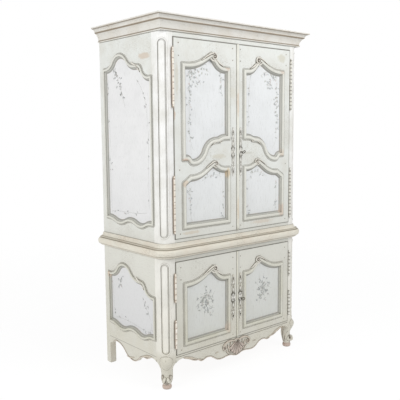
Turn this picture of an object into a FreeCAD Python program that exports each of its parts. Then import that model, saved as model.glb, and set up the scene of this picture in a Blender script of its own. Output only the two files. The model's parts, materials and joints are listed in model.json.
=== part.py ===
"""Two-stage French country armoire for a television.

Model coordinates, in millimetres: x = 0 on the centre line, y = 0 on the front face of the
case and growing to the back, z = 0 on the floor. Every piece is written out with the origin
moved under the middle of the whole armoire.
"""
import FreeCAD, Part
import math
import os

Vector = FreeCAD.Vector

# ---- the case ------------------------------------------------------------------------------------
case_half = 612.0           # half the width over the corner posts
case_depth = 680.0
case_height = 2300.0
board = 22.0                # decks, shelves and tops
rail_thick = 25.0
panel_thick = 8.0
back_thick = 12.0

# ---- heights of the front ------------------------------------------------------------------------
base_top = 890.0            # where the upper case stands on the base
cornice_height = 93.0
cornice_cover = 12.0        # the posts and rails end this far under the cornice top
upper_sill = 64.0           # bottom rail of the upper case
upper_head = 28.0           # its top rail, as far as the cornice leaves it in sight
lower_head = 77.0           # top rail of the base, under the waist
lower_sill = 212.0          # the base opening above the floor
post_width = 86.0           # from the side of the case to the opening

# ---- corner posts --------------------------------------------------------------------------------
post_side = 95.0            # how far a front post reaches back along the side
post_leaf = 45.0            # thickness of its two leaves
corner_radius = 60.0
rear_post = 45.0
flute_foot = 8.0            # the upper flute above its opening's foot
flute_head = 11.0           # and below its head
lower_flute_foot = 12.0
lower_flute_head = 2.0      # the lower flute runs this far past its opening
ridge_width = 66.0
ridge_height = 2.5
channel_width = 52.0
channel_depth = 4.0
reed_width = 32.0

# ---- doors ---------------------------------------------------------------------------------------
door_proud = 4.0            # the doors stand this far in front of the case
door_thick = 25.0
meeting_gap = 3.0
edge_gap = 1.5
height_gap = 2.0
meeting_stile = 59.5
hinge_stile = 61.5
panel_setback = 9.0         # panel face behind the frame face
tongue = 12.0               # how far a panel reaches into its groove
blank_spare = 50.0          # panel blanks run this far past each side of a peak
blank_dip = 10.0
blank_bay = (82.0, 50.0)    # its corner under the foot of the tall panel
bead_upper = (18.0, 8.0)    # width and height of the bead on the meeting edge
bead_lower = (10.0, 5.0)

# ---- shaped openings -----------------------------------------------------------------------------
corner_run = 40.0           # straight run beside each corner, longer than the moulding is wide
side_run = 32.0
crown_rise = 86.0
crown_fall = 9.0            # the hinge side of a crown above its meeting side
crown_peak = 157.0          # from the meeting stile
crown_slopes = (1.46, 1.32)         # slope at the peak over that of the chord, on each side
upper_spring = 159.0        # crown of the tall panel at the meeting stile, below the opening's head
lower_spring = 153.0
# of the upper doors, above the foot of their opening
wave_meeting = 607.0        # foot of the tall panel at the meeting stile
wave_step = 589.0
wave_valley = 454.0
wave_hinge = 483.0
small_meeting = 429.0       # top of the small panel at the meeting stile
small_peak = 474.0
small_step = 388.0
small_hinge = 347.0
small_foot = 58.0
lower_foot = 50.0           # foot of a lower panel above its opening's foot
# across the doors, from the meeting stile
wave_station = 118.0
small_peak_station = 141.0
small_slopes = (1.36, 1.46)
small_run = 14.0            # level run beside the slanted corner
# and from the hinge stile
valley_station = 90.0
small_step_station = 63.0

# ---- side openings -------------------------------------------------------------------------------
side_crown_upper = 178.0    # crown at the rear post, below the foot of the cornice
side_crown_lower = 228.0    # and below the top of the base
side_rise = 83.0
side_drop = 79.0            # the front end of the crown below its rear end
side_foot_upper = 120.0     # above the top of the base
side_foot_lower = 280.0     # above the floor
side_foot_lift = 26.0
side_peak = 190.0           # station of the crown's peak, from the rear post
side_step = (180.0, 145.0)          # of its step, from the front post
side_waves = (140.0, 257.0, 373.0)  # stations of the foot, from the front post

# ---- panel mouldings -----------------------------------------------------------------------------
moulding_door = 38.0        # width over frame and panel
moulding_side = 30.0
moulding_proud = 11.0
moulding_edge = 3.0         # height of its outer edge
moulding_cove = 14.0        # width of the hollow beside the panel
moulding_shoulder = 6.5     # the round ends at this height
moulding_fillet = 2.0
cove_depth = 4.5

# ---- cornice and waist ---------------------------------------------------------------------------
cornice_overhang = 60.0
# its members from the foot up, as reach and height: bead, cove, fillet and lip
cornice_bead = (6.0, 9.0)
cornice_cove = (31.0, 58.0)
cornice_hollow = (13.0, 37.0)
cornice_fillet = (3.0, 5.0)
cornice_flare = (41.0, 76.0)
cornice_lip = (2.0, 7.0)
waist_drop = 52.0           # the waist moulding below and above the top of the base
waist_rise = 42.0
waist_overhang = 49.0
# its members from the foot up: hollow, nosing, fillet and upper hollow
waist_hollow = ((20.0, 6.0), (34.0, 18.0))
waist_nosing = (40.0, 20.0, 60.0)
waist_fillet = (31.0, 62.0, 70.0)
waist_cap = ((14.0, 76.0), (8.0, 91.0))
waist_top_reach = 6.0

# ---- legs and aprons -----------------------------------------------------------------------------
wing_top = 185.0            # where the post starts to taper into the leg
wing_foot = 105.0
wing_inset = 14.0
pad_radius = 30.5
pad_height = 26.0
leg_setback = 36.0          # leg centre behind the corner, on the diagonal
# height, reach past the corner, half depth and half width of the leg's oval sections
leg_sections = ((236.0, -12.0, 18.0, 30.0), (214.0, 1.0, 30.0, 38.0), (172.0, 17.0, 42.0, 44.0),
                (128.0, -5.0, 36.5, 39.0), (104.0, -11.0, 34.0, 36.0), (62.0, -7.0, 32.0, 36.0),
                (34.0, -10.0, 27.0, 29.0), (24.0, -12.0, 24.0, 26.0))
volute_radius = 18.0
volute_width = 17.0
volute_height = 62.0
volute_reach = 11.0         # past the corner
volute_spread = 15.0        # centre of each volute beside the middle of the toe
volute_tilt = 24.0          # degrees; the pair opens upward
volute_eye = (7.0, 2.5)     # radius and height of the boss in each volute
leg_chamfer = 5.0
apron_foot = 70.0           # lowest edge of the sawn blank
apron_groove = (11.0, 3.0, 1.5)     # below the opening, width and depth of the line along the apron
shell_hinge = 190.0         # the fan's centre
shell_reach = 98.0
shell_thick = 8.0
lobe_angle = 17.0
lobe_fall = 5.0             # each lobe is this much shorter than the one nearer the middle
lobe_bulge = 7.0
lobe_groove = (2.0, 3.0)    # width and depth of the line between two lobes
shell_eye = 22.0            # the lobes start this far from the fan's centre
shell_crest = 6.0
leaf_inset = 2.0
# the leaf beside the fan, by its corners and the middles of its arcs
shell_leaf = ((38.0, 186.0), (118.0, 172.0), (112.0, 150.0), (92.0, 158.0), (84.0, 128.0),
              (60.0, 122.0))
apron_valley = 82.0
apron_peak = 182.0
# edge of the front apron: distance from the middle, height above the valley
apron_waves = ((70.0, 15.0), (145.0, 8.0), (262.0, 52.0), (315.0, 40.0), (350.0, 55.0))
apron_shoulder = 51.0       # the last peak before the opening's edge
leg_side = 30.0             # the leg's edge outside the opening
arch_haunch = (6.0, 22.0)   # middle of the arc from that peak to the leg
# edge of the side apron, from the front of the case, with its heights
side_leg = (62.0, 84.0, 158.0)
side_apron = ((140.0, 180.0), (205.0, 155.0), (228.0, 155.0), (350.0, 98.0))
side_apron_rear = (87.0, 150.0)     # last peak before the rear post, height at the post

# ---- hinges --------------------------------------------------------------------------------------
hinge_forward = 8.5         # hinge axis in front of the case
hinge_outward = 6.0         # and outside the opening
barrel_radius = 8.0
pin_radius = 4.0
pin_share = 0.5             # the pin enters this share of the upper barrel
pin_clearance = 0.05
leaf_thick = 2.0
leaf_depth = 26.0
barrel_gap = 0.4
upper_hinge_length = 372.0
upper_hinge_places = (215.0, 241.0)      # centres above the opening's foot and below its head
lower_hinge_length = 200.0
lower_hinge_places = (140.0, 163.0)
leaf_angle = 38.0           # of the door's leaf, let into its edge
finial = 26.0
# turned profile of the finial: neck, bulb and tip, as distance past the barrel and radius
finial_neck = (3.0, 4.8)
finial_bulb = (11.0, 7.2)
finial_tip = (19.0, 2.5)

# ---- locks ---------------------------------------------------------------------------------------
plate_thick = 2.0
plate_half = 16.0
plate_waves = ((45.0, 5.0), (80.0, 10.0), (115.0, 4.0))     # distance from the middle, half width
plate_end = (14.0, 7.0)
plate_piercings = ((32.0, 14.0, 3.0), (80.0, 40.0, 4.5), (130.0, 22.0, 2.5))
upper_plate = (526.0, 320.0)             # centre above the opening's foot, and length
lower_plate = (286.0, 310.0)
upper_key = 524.0           # keys above the foot of their opening
lower_key = 270.0
upper_plate_x = (-33.0, 36.0)
lower_plate_x = (-33.0, 33.0)
key_radius = 3.0
key_clearance = 1.0
key_reach = 32.0
bow_radius = 11.0
bit_radius = 10.0
bit_thick = 3.0
bit_start = 45.0            # degrees past upright, where the bit has just brought the bolt home
talon_width = 6.6
bow_wire = 2.6
collar = (5.0, 4.0, 14.0)   # radius, thickness and distance in front of the door
lock_size = (52.0, 18.0, 72.0)
lock_wall = 2.0
lock_edge = 2.5             # lock case and bolt behind the edge of the stile
lock_lift = 4.0             # the case reaches this much further up than down
bolt_gap = 3.0              # between the door and its bolt
bolt_size = (48.0, 9.0, 14.0)
bolt_lift = 6.4             # underside of the bolt above the key
bolt_clearance = 0.3
rod_radius = 4.0
rod_length = 120.0
rod_clearance = 0.1
rod_hole = 5.5
rod_standoff = 10.0
rod_inset = 6.0             # the rod beside its lock plate
rod_clear = 1.0             # foot of the drawn rod above the foot of the door
guide_size = (18.0, 16.0, 10.0)
guide_lifts = (18.0, 84.0)  # above the foot of the door
knob = (3.5, 14.0, 60.0)    # radius, length and height on the rod
strike_span = (5.0, 24.0)   # from the middle of the armoire
strike_depth = 16.0
strike_wall = 3.0
strike_clearance = 1.0

# ---- inside --------------------------------------------------------------------------------------
deck_drop = (2.0, 4.0)      # top of the upper and the lower deck below the opening's foot
lower_deck_thick = 20.0
top_board_thick = 16.0
top_board_drop = 12.0       # below the ends of the posts
upper_shelf_height = 606.0  # above the opening's foot
lower_shelf_height = 308.0
back_inset = 2.0
shelf_clearance = 3.0
shelf_pin = 4.0
shelf_pin_reach = 12.0
cable_opening = (260.0, 1040.0, 1160.0)   # width, foot and top of the gap in the back

front_y = cornice_overhang - (case_depth + cornice_overhang) / 2
cornice_foot = case_height - cornice_height
upper_top = case_height - cornice_cover
upper_opening = (base_top + upper_sill, cornice_foot - upper_head)
lower_opening = (lower_sill, base_top - lower_head)
opening_half = case_half - post_width
waist_foot = base_top - waist_drop
waist_top = base_top + waist_rise
flute_upper = (upper_opening[0] + flute_foot, upper_opening[1] - flute_head)
flute_lower = (lower_opening[0] + lower_flute_foot, lower_opening[1] + lower_flute_head)
upper_deck = upper_opening[0] - deck_drop[0]
lower_deck = lower_opening[0] - deck_drop[1]
top_board = upper_top - top_board_drop
upper_shelf = upper_opening[0] + upper_shelf_height
lower_shelf = lower_opening[0] + lower_shelf_height
door_face = -door_proud
door_back = door_thick - door_proud
rail_inner = case_half - rail_thick
post_inner = case_half - post_leaf
rear_face = case_depth - rear_post
hinge_x = opening_half + hinge_outward
hinge_y = -hinge_forward
far = 3000.0                # longer than anything that is cut
below = 10.0                # cuts for the feet start this far under the floor


def save(name, shapes):
    """Write one node: a single solid, or separate solids that share the node."""
    solids = shapes if isinstance(shapes, list) else [shapes]
    moved = []
    for shape in solids:
        piece = shape.copy()
        piece.translate(Vector(0, front_y, 0))
        moved.append(piece)
    whole = moved[0] if len(moved) == 1 else Part.makeCompound(moved)
    whole.exportStep("parts/" + name + ".step")


def box(x0, x1, y0, y1, z0, z1):
    return Part.makeBox(x1 - x0, y1 - y0, z1 - z0, Vector(x0, y0, z0))


def mirrored(shape):
    return shape.mirror(Vector(0, 0, 0), Vector(1, 0, 0))


def on_side(shape, side):
    """Shapes are drawn for the right-hand side, side = 1, and mirrored for the left."""
    return shape if side > 0 else mirrored(shape)


class Outline:
    """A closed outline in the XZ plane, drawn from station to station."""

    def __init__(self, u, z):
        self.first = (u, z)
        self.at = (u, z)
        self.edges = []

    def point(self, station):
        return Vector(station[0], 0, station[1])

    def line(self, u, z):
        if math.dist(self.at, (u, z)) > 1e-6:
            self.edges.append(Part.LineSegment(self.point(self.at), self.point((u, z))).toShape())
        self.at = (u, z)
        return self

    def arc(self, u_mid, z_mid, u, z):
        arc = Part.Arc(self.point(self.at), self.point((u_mid, z_mid)), self.point((u, z)))
        self.edges.append(arc.toShape())
        self.at = (u, z)
        return self

    def swing(self, u, z, level_start=True):
        """One arc to (u, z) that is level at its start, or else at its end."""
        u0, z0 = self.at
        du, dz = u - u0, z - z0
        half_turn = math.atan2(abs(dz), abs(du))
        radius = (du * du + dz * dz) / (2 * abs(dz))
        run = math.copysign(radius * math.sin(half_turn), du)
        rise = math.copysign(radius * (1 - math.cos(half_turn)), dz)
        if level_start:
            return self.arc(u0 + run, z0 + rise, u, z)
        return self.arc(u - run, z - rise, u, z)

    def ogee(self, u, z, share=0.5):
        """Two tangent arcs, level at both ends; the first takes this share of the way."""
        u0, z0 = self.at
        if z == z0:
            return self.line(u, z)
        self.swing(u0 + (u - u0) * share, z0 + (z - z0) * share)
        return self.swing(u, z, level_start=False)

    def slope(self, u, z, steepness, level_start=True):
        """An arc that is level at one end, and a straight run that it turns into.

        The run is this many times as steep, in degrees, as the chord: between 1 and 2.
        """
        u0, z0 = self.at
        across, up = abs(u - u0), abs(z - z0)
        turn = steepness * math.atan2(up, across)
        bend = 1 - math.cos(turn)
        radius = (across * math.sin(turn) - up * math.cos(turn)) / bend
        run = math.copysign(radius * math.sin(turn), u - u0)
        rise = math.copysign(radius * bend, z - z0)
        if level_start:
            self.swing(u0 + run, z0 + rise)
            return self.line(u, z)
        self.line(u - run, z - rise)
        return self.swing(u, z, level_start=False)

    def wire(self):
        self.line(*self.first)
        return Part.Wire(self.edges)

    def prism(self, y0, y1):
        face = Part.Face(self.wire())
        face.translate(Vector(0, y0, 0))
        return face.extrude(Vector(0, y1 - y0, 0))


def turned_to_side(shape):
    """Turn a shape drawn along x into one drawn along y, with its front to the right."""
    turned = shape.copy()
    turned.rotate(Vector(0, 0, 0), Vector(0, 0, 1), 90)
    return turned


def moulding_profile(start, inward, width, face_height):
    """Section of the bolection moulding that rims an opening, on the opening's edge.

    It stands on the panel, rises in a round past the frame face and falls in a hollow.
    """
    def at(inset, height):
        return start + inward * inset + Vector(0, -1, 0) * (face_height + height)

    round_width = width - moulding_cove
    foot = -panel_setback
    fillet = at(round_width, moulding_shoulder - moulding_fillet)
    return Part.Face(Part.Wire([
        Part.LineSegment(at(0, foot), at(0, moulding_edge)).toShape(),
        Part.Arc(at(0, moulding_edge), at(round_width * 0.45, moulding_proud),
                 at(round_width, moulding_shoulder)).toShape(),
        Part.LineSegment(at(round_width, moulding_shoulder), fillet).toShape(),
        Part.Arc(fillet, at(round_width + moulding_cove * 0.32, -cove_depth), at(width, foot)).toShape(),
        Part.LineSegment(at(width, foot), at(0, foot)).toShape(),
    ]))


def mitre_waste(corner, inward, next_inward, width, face_height):
    """The part of a length that lies past the mitre plane at its end."""
    reach = width + 1
    back = Vector(0, panel_setback - face_height + 1, 0)
    middle = inward + next_inward
    mitre = middle * (reach / middle.dot(inward))
    triangle = Part.makePolygon([corner + back, corner + back + inward * reach,
                                 corner + back + mitre, corner + back])
    return Part.Face(triangle).extrude(Vector(0, -panel_setback - moulding_proud - 2, 0))


def ring_moulding(outline, width, face_height):
    """Rim an opening, drawn anticlockwise: each line is extruded, each arc is turned.

    Where two lengths meet at an angle, both are cut back to their mitre plane.
    """
    outline.wire()
    lengths = []
    count = len(outline.edges)
    inner_way = Vector(0, 1, 0)
    ways = [(edge.tangentAt(edge.FirstParameter).cross(inner_way),
             edge.tangentAt(edge.LastParameter).cross(inner_way)) for edge in outline.edges]
    for index, edge in enumerate(outline.edges):
        first, last = ways[index]
        start = edge.valueAt(edge.FirstParameter)
        end = edge.valueAt(edge.LastParameter)
        profile = moulding_profile(start, first, width, face_height)
        if isinstance(edge.Curve, Part.Line):
            length = profile.extrude(end - start)
        else:
            centre = edge.Curve.Center
            a, b = start - centre, end - centre
            turn = math.degrees(math.atan2(a.z * b.x - a.x * b.z, a.dot(b)))
            length = profile.revolve(centre, inner_way, turn)
        following, previous = ways[(index + 1) % count][0], ways[index - 1][1]
        if following.getAngle(last) > 0.1:
            length = length.cut(mitre_waste(end, last, following, width, face_height))
        if previous.getAngle(first) > 0.1:
            length = length.cut(mitre_waste(start, first, previous, width, face_height))
        lengths.append(length)
    return lengths[0].multiFuse(lengths[1:]).removeSplitter()


# ---- shaped openings, drawn for the right-hand door ----------------------------------------------
stile_x = meeting_gap / 2 + meeting_stile     # the meeting stile's inner edge
hinge_stile_x = opening_half - edge_gap - hinge_stile
upper_crown = upper_opening[1] - upper_spring
lower_crown = lower_opening[1] - lower_spring


def crown(outline, spring):
    """The top of a door panel, drawn from the hinge stile over its pointed peak."""
    hinge_slope, meeting_slope = crown_slopes
    outline.line(hinge_stile_x, spring + crown_fall)
    outline.line(hinge_stile_x - corner_run, spring + crown_fall)
    outline.slope(stile_x + crown_peak, spring + crown_rise, hinge_slope)
    outline.slope(stile_x + corner_run, spring, meeting_slope, level_start=False)
    return outline.line(stile_x, spring)


def tall_opening():
    """The tall panel of an upper door: crown above, S-shaped foot below."""
    foot = upper_opening[0]
    outline = Outline(hinge_stile_x, (foot + wave_valley + upper_crown) / 2)
    crown(outline, upper_crown)
    outline.line(stile_x, foot + wave_meeting)
    outline.line(stile_x + corner_run, foot + wave_meeting)
    outline.ogee(stile_x + wave_station, foot + wave_step)
    outline.ogee(hinge_stile_x - valley_station, foot + wave_valley, 0.42)
    outline.ogee(hinge_stile_x - corner_run, foot + wave_hinge, 0.78)
    return outline.line(hinge_stile_x, foot + wave_hinge)


def small_opening():
    """The small panel below it: a peaked top with a slanted corner, and a straight foot."""
    foot = upper_opening[0]
    outline = Outline(hinge_stile_x, foot + (small_foot + small_hinge) / 2)
    outline.line(hinge_stile_x, foot + small_hinge)
    outline.line(hinge_stile_x - small_step_station, foot + small_step)
    outline.line(hinge_stile_x - small_step_station - small_run, foot + small_step)
    outline.slope(stile_x + small_peak_station, foot + small_peak, small_slopes[0])
    outline.slope(stile_x + corner_run, foot + small_meeting, small_slopes[1], level_start=False)
    outline.line(stile_x, foot + small_meeting)
    return outline.line(stile_x, foot + small_foot).line(hinge_stile_x, foot + small_foot)


def lower_opening_outline():
    """The single panel of a lower door."""
    foot = lower_opening[0] + lower_foot
    outline = Outline(hinge_stile_x, (foot + lower_crown) / 2)
    crown(outline, lower_crown)
    return outline.line(stile_x, foot).line(hinge_stile_x, foot)


def side_opening(crown_height, foot_height):
    """A side panel: its crown peaks near the rear post and steps down to the front post."""
    lifted = foot_height + side_foot_lift
    outline = Outline(rear_face, (crown_height + foot_height) / 2)
    outline.line(rear_face, crown_height)
    outline.line(rear_face - side_run, crown_height)
    outline.ogee(rear_face - side_peak, crown_height + side_rise)
    outline.ogee(post_side + side_step[0], crown_height)
    outline.line(post_side + side_step[1], crown_height)
    outline.ogee(post_side + side_run, crown_height - side_drop, 0.4)
    outline.line(post_side, crown_height - side_drop)
    outline.line(post_side, lifted)
    outline.line(post_side + side_run, lifted)
    outline.ogee(post_side + side_waves[0], foot_height)
    outline.ogee(post_side + side_waves[1], lifted)
    outline.ogee(post_side + side_waves[2], foot_height)
    outline.ogee(rear_face - side_run, lifted)
    return outline.line(rear_face, lifted)


def panel_blank(corners, margin):
    """A panel sawn to straight edges: its corner points moved outward by the margin."""
    wire = Part.makePolygon([Vector(u, 0, z) for u, z in corners + corners[:1]])
    grown = wire.makeOffset2D(margin, 2)
    face = Part.Face(grown)
    face.translate(Vector(0, panel_setback, 0))
    return face.extrude(Vector(0, panel_thick, 0))


def crown_corners(spring):
    """Corners of a blank under a crown, from the hinge stile to the meeting stile."""
    peak = spring + crown_rise
    return [(hinge_stile_x, spring + crown_fall), (stile_x + crown_peak + blank_spare, peak),
            (stile_x + crown_peak - blank_spare, peak), (stile_x, spring)]


def tall_corners():
    foot = upper_opening[0]
    bay, drop = blank_bay
    return [(stile_x, foot + wave_meeting - blank_dip),
            (stile_x + wave_station + bay, foot + wave_step - drop),
            (hinge_stile_x - valley_station - blank_dip, foot + wave_valley),
            (hinge_stile_x, foot + wave_valley)] + crown_corners(upper_crown)


def small_corners():
    foot = upper_opening[0]
    step = hinge_stile_x - small_step_station - small_run - blank_spare
    peak = stile_x + small_peak_station + blank_spare
    return [(stile_x, foot + small_foot), (hinge_stile_x, foot + small_foot),
            (hinge_stile_x, foot + small_step), (step, foot + small_step),
            (peak, foot + small_peak), (stile_x, foot + small_peak)]


def lower_corners():
    foot = lower_opening[0] + lower_foot
    return [(stile_x, foot), (hinge_stile_x, foot)] + crown_corners(lower_crown)


def side_corners(crown_height, foot_height):
    peak = rear_face - side_peak
    return [(post_side, foot_height), (rear_face, foot_height), (rear_face, crown_height),
            (peak + blank_spare, crown_height + side_rise),
            (peak - blank_spare, crown_height + side_rise),
            (post_side + side_step[1] + blank_dip, crown_height + blank_dip),
            (post_side, crown_height - side_drop + 2 * blank_dip)]


# ---- doors ---------------------------------------------------------------------------------------
def hinge_leaf(centre, length, case_side):
    """The flat leaf of one hinge half, let into the post or into the door's edge."""
    low = centre - length / 2 + finial
    middle = centre
    if case_side:
        return box(hinge_x - leaf_thick / 2, hinge_x + leaf_thick / 2,
                   hinge_y, hinge_y + leaf_depth + hinge_forward, low, middle - barrel_gap)
    leaf = box(0, leaf_depth + barrel_radius, -leaf_thick / 2, leaf_thick / 2,
               middle + barrel_gap, centre + length / 2 - finial)
    leaf.rotate(Vector(0, 0, 0), Vector(0, 0, 1), 180 - leaf_angle)
    leaf.translate(Vector(hinge_x, hinge_y, 0))
    return leaf


def door_frame(heights, openings, blanks, hinges, bead, side):
    """Stiles and rails as separate solids, grooved for their panels."""
    low, high = heights[0] + height_gap, heights[1] - height_gap
    inner = meeting_gap / 2
    outer = opening_half - edge_gap
    stile_meeting = box(inner, stile_x, door_face, door_back, low, high)
    stile_hinge = box(hinge_stile_x, outer, door_face, door_back, low, high)
    field = box(stile_x, hinge_stile_x, door_face, door_back, low, high)
    if side > 0:
        width, height = bead
        rib = Outline(inner, door_face).arc(inner + width / 2, door_face - height, inner + width,
                                            door_face).wire()
        rib.rotate(Vector(0, 0, 0), Vector(1, 0, 0), -90)
        face = Part.Face(rib)
        strip = face.extrude(Vector(0, 0, high - low))
        strip.translate(Vector(0, 0, low))
        stile_meeting = stile_meeting.fuse(strip).removeSplitter()
    for opening in openings:
        field = field.cut(opening.prism(door_face - 1, door_back + 1))
    rails = field.Solids
    pieces = [stile_meeting, stile_hinge] + rails
    cutters = [blank.translated(Vector(0, door_face, 0)) for blank in blanks]
    for centre in hinges[:2]:
        cutters.append(hinge_leaf(centre, hinges[2], case_side=False))
    grooved = []
    for piece in pieces:
        for cutter in cutters:
            piece = piece.cut(cutter)
        grooved.extend(piece.Solids)
    return grooved


def door_mouldings(openings):
    mouldings = []
    for opening in openings:
        mouldings.append(ring_moulding(opening, moulding_door, door_proud))
    return mouldings


def hinge_half(centre, length, case_side):
    """Half of a lift-off hinge: a turned barrel with a finial, and its leaf."""
    inner_end = centre - barrel_gap if case_side else centre + barrel_gap
    reach = length / 2 - barrel_gap
    turn = -1 if case_side else 1

    def at(radius, distance):
        return Vector(radius, 0, inner_end + turn * distance)

    neck = reach - finial
    narrow, bulb, tip = [at(radius, neck + distance)
                         for distance, radius in (finial_neck, finial_bulb, finial_tip)]
    outline = [at(0, 0), at(barrel_radius, 0), at(barrel_radius, neck), narrow]
    edges = [Part.LineSegment(a, b).toShape() for a, b in zip(outline, outline[1:])]
    edges.append(Part.Arc(narrow, bulb, tip).toShape())
    edges.append(Part.LineSegment(tip, at(0, reach)).toShape())
    edges.append(Part.LineSegment(at(0, reach), at(0, 0)).toShape())
    barrel = Part.Face(Part.Wire(edges)).revolve(Vector(0, 0, 0), Vector(0, 0, 1), 360)
    barrel = Part.Solid(barrel) if barrel.ShapeType != "Solid" else barrel
    barrel.translate(Vector(hinge_x, hinge_y, 0))
    pin_depth = pin_share * reach
    half = barrel.fuse(hinge_leaf(centre, length, case_side))
    axis_foot = Vector(hinge_x, hinge_y, centre - barrel_gap)
    if case_side:
        pin = Part.makeCylinder(pin_radius, pin_depth + 2 * barrel_gap, axis_foot)
        return half.fuse(pin).removeSplitter()
    bore = Part.makeCylinder(pin_radius + pin_clearance, pin_depth + 4 * barrel_gap, axis_foot)
    return half.cut(bore)


# ---- lock, key and bolts -------------------------------------------------------------------------
def escutcheon(x, centre, length, key_height):
    """A long pierced plate of wavy outline with its keyhole, on the face of a meeting stile."""
    half = length / 2
    end, end_half = plate_end
    stations = [(-distance, half_width) for distance, half_width in reversed(plate_waves)]
    stations += [(0, plate_half)] + list(plate_waves)
    outline = Outline(-half, 0)
    for hand in (1, -1):
        outline.swing(hand * (end - half), hand * end_half, level_start=False)
        for distance, half_width in stations:
            outline.ogee(hand * distance, hand * half_width)
        outline.ogee(hand * (half - end), hand * end_half)
        outline.swing(hand * half, 0)
    plate = outline.prism(-plate_thick, 0)
    for distance, long, half_width in plate_piercings:
        for middle in (distance, -distance):
            lens = Outline(middle - long / 2, 0).arc(middle, half_width, middle + long / 2, 0)
            lens.arc(middle, -half_width, middle - long / 2, 0)
            plate = plate.cut(lens.prism(-2 * plate_thick, plate_thick))
    plate.rotate(Vector(0, 0, 0), Vector(0, 1, 0), 90)
    plate.translate(Vector(x, door_face, centre))
    hole = Part.makeCylinder(key_radius + key_clearance, 2 * plate_thick,
                             Vector(x, door_face - 1.5 * plate_thick, key_height), Vector(0, 1, 0))
    return plate.cut(hole)


def key(x, height):
    """Shank with a collar, a pierced bow in front and a bit behind the door."""
    tip = door_back + bolt_gap + bolt_size[1]
    collar_radius, collar_thick, collar_place = collar
    shank = Part.makeCylinder(key_radius, tip - door_face + key_reach - bow_radius,
                              Vector(x, door_face - key_reach + bow_radius, height),
                              Vector(0, 1, 0))
    ring = Part.makeCylinder(collar_radius, collar_thick, Vector(x, door_face - collar_place, height),
                             Vector(0, 1, 0))
    bow = Part.makeTorus(bow_radius, bow_wire, Vector(x, door_face - key_reach, height),
                         Vector(1, 0, 0))
    bit = box(x - bit_thick / 2, x + bit_thick / 2, door_back + bolt_gap + bolt_clearance, tip,
              height, height + bit_radius)
    whole = shank.multiFuse([ring, bow, bit]).removeSplitter()
    whole.rotate(Vector(x, 0, height), Vector(0, 1, 0), bit_start)
    return whole


def lock_case(height):
    """A rim lock on the back of the meeting stile: an open-backed box that guides its bolt."""
    wide, deep, tall = lock_size
    left = meeting_gap / 2 + lock_edge
    low = height - tall / 2 + lock_lift
    case = box(left, left + wide, door_back, door_back + deep, low, low + tall)
    hollow = box(left + lock_wall, left + wide - lock_wall, door_back,
                 door_back + deep - lock_wall, low + lock_wall, low + tall - lock_wall)
    thick, tall_bolt = bolt_size[1:]
    slot = box(left - 1, left + lock_wall + 1, door_back + bolt_gap - bolt_clearance,
               door_back + bolt_gap + thick + bolt_clearance, height + bolt_lift - bolt_clearance,
               height + bolt_lift + tall_bolt + bolt_clearance)
    return case.cut(hollow).cut(slot)


def lock_bolt(height, x):
    """A flat bolt with the notch that the key's bit drives."""
    left = meeting_gap / 2 + lock_edge
    long, thick, tall = bolt_size
    bolt = box(left, left + long, door_back + bolt_gap, door_back + bolt_gap + thick,
               height + bolt_lift, height + bolt_lift + tall)
    notch = x + bit_radius * math.sin(math.radians(bit_start))
    talon = box(notch - talon_width / 2, notch + talon_width / 2, door_back,
                door_back + bolt_gap + thick + 1, height, height + bit_radius + 1)
    return bolt.cut(talon)


def strike(height):
    """The staple on the other door that the thrown bolt enters."""
    near, wide = strike_span
    low = height + bolt_lift - strike_clearance
    top = height + bolt_lift + bolt_size[2] + strike_clearance
    outer = box(-wide, -near, door_back, door_back + strike_depth, low - strike_wall - 1,
                top + strike_wall + 1)
    mouth = box(strike_wall - wide, 1 - near, door_back - 1, door_back + strike_depth - strike_wall,
                low, top)
    return outer.cut(mouth)


def rod_guides(x, low):
    """Two staples that hold the slide bolt to the back of the left-hand door."""
    wide, deep, tall = guide_size
    guides = []
    for lift in guide_lifts:
        guide = box(x - wide / 2, x + wide / 2, door_back, door_back + deep, low + lift,
                    low + lift + tall)
        bore = Part.makeCylinder(rod_radius + rod_clearance, tall + 2,
                                 Vector(x, door_back + rod_standoff, low + lift - 1))
        guides.append(guide.cut(bore))
    return guides


def slide_rod(x, low):
    radius, long, height = knob
    rod = Part.makeCylinder(rod_radius, rod_length,
                            Vector(x, door_back + rod_standoff, low + rod_clear))
    grip = Part.makeCylinder(radius, long, Vector(x, door_back + rod_standoff, low + height),
                             Vector(0, 1, 0))
    return rod.fuse(grip)


# ---- posts, legs and aprons ----------------------------------------------------------------------
def post_section(z, inset=0.0):
    """The L-shaped section of a front corner post, with a rounded outer corner."""
    outer = case_half - inset
    front = inset
    turn = corner_radius * (1 - math.sqrt(0.5))
    points = [(outer - corner_radius, front), (opening_half, front), (opening_half, post_leaf),
              (post_inner, post_leaf), (post_inner, post_side), (outer, post_side),
              (outer, front + corner_radius)]
    vertices = [Vector(x, y, z) for x, y in points]
    edges = [Part.LineSegment(a, b).toShape() for a, b in zip(vertices, vertices[1:])]
    edges.append(Part.Arc(vertices[-1], Vector(outer - turn, front + turn, z), vertices[0]).toShape())
    return Part.Wire(edges)


def post_prism(z0, z1):
    return Part.Face(post_section(z0)).extrude(Vector(0, 0, z1 - z0))


def stadium(width, z0, z1):
    """An upright slot shape of this width, standing out along the corner's diagonal."""
    half = width / 2
    outline = Outline(half, z0 + half).line(half, z1 - half)
    outline.arc(0, z1, -half, z1 - half).line(-half, z0 + half).arc(0, z0, half, z0 + half)
    bar = outline.prism(-2 * corner_radius, 0)
    bar.rotate(Vector(0, 0, 0), Vector(0, 0, 1), 45)
    bar.translate(Vector(case_half - corner_radius, corner_radius, 0))
    return bar


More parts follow.
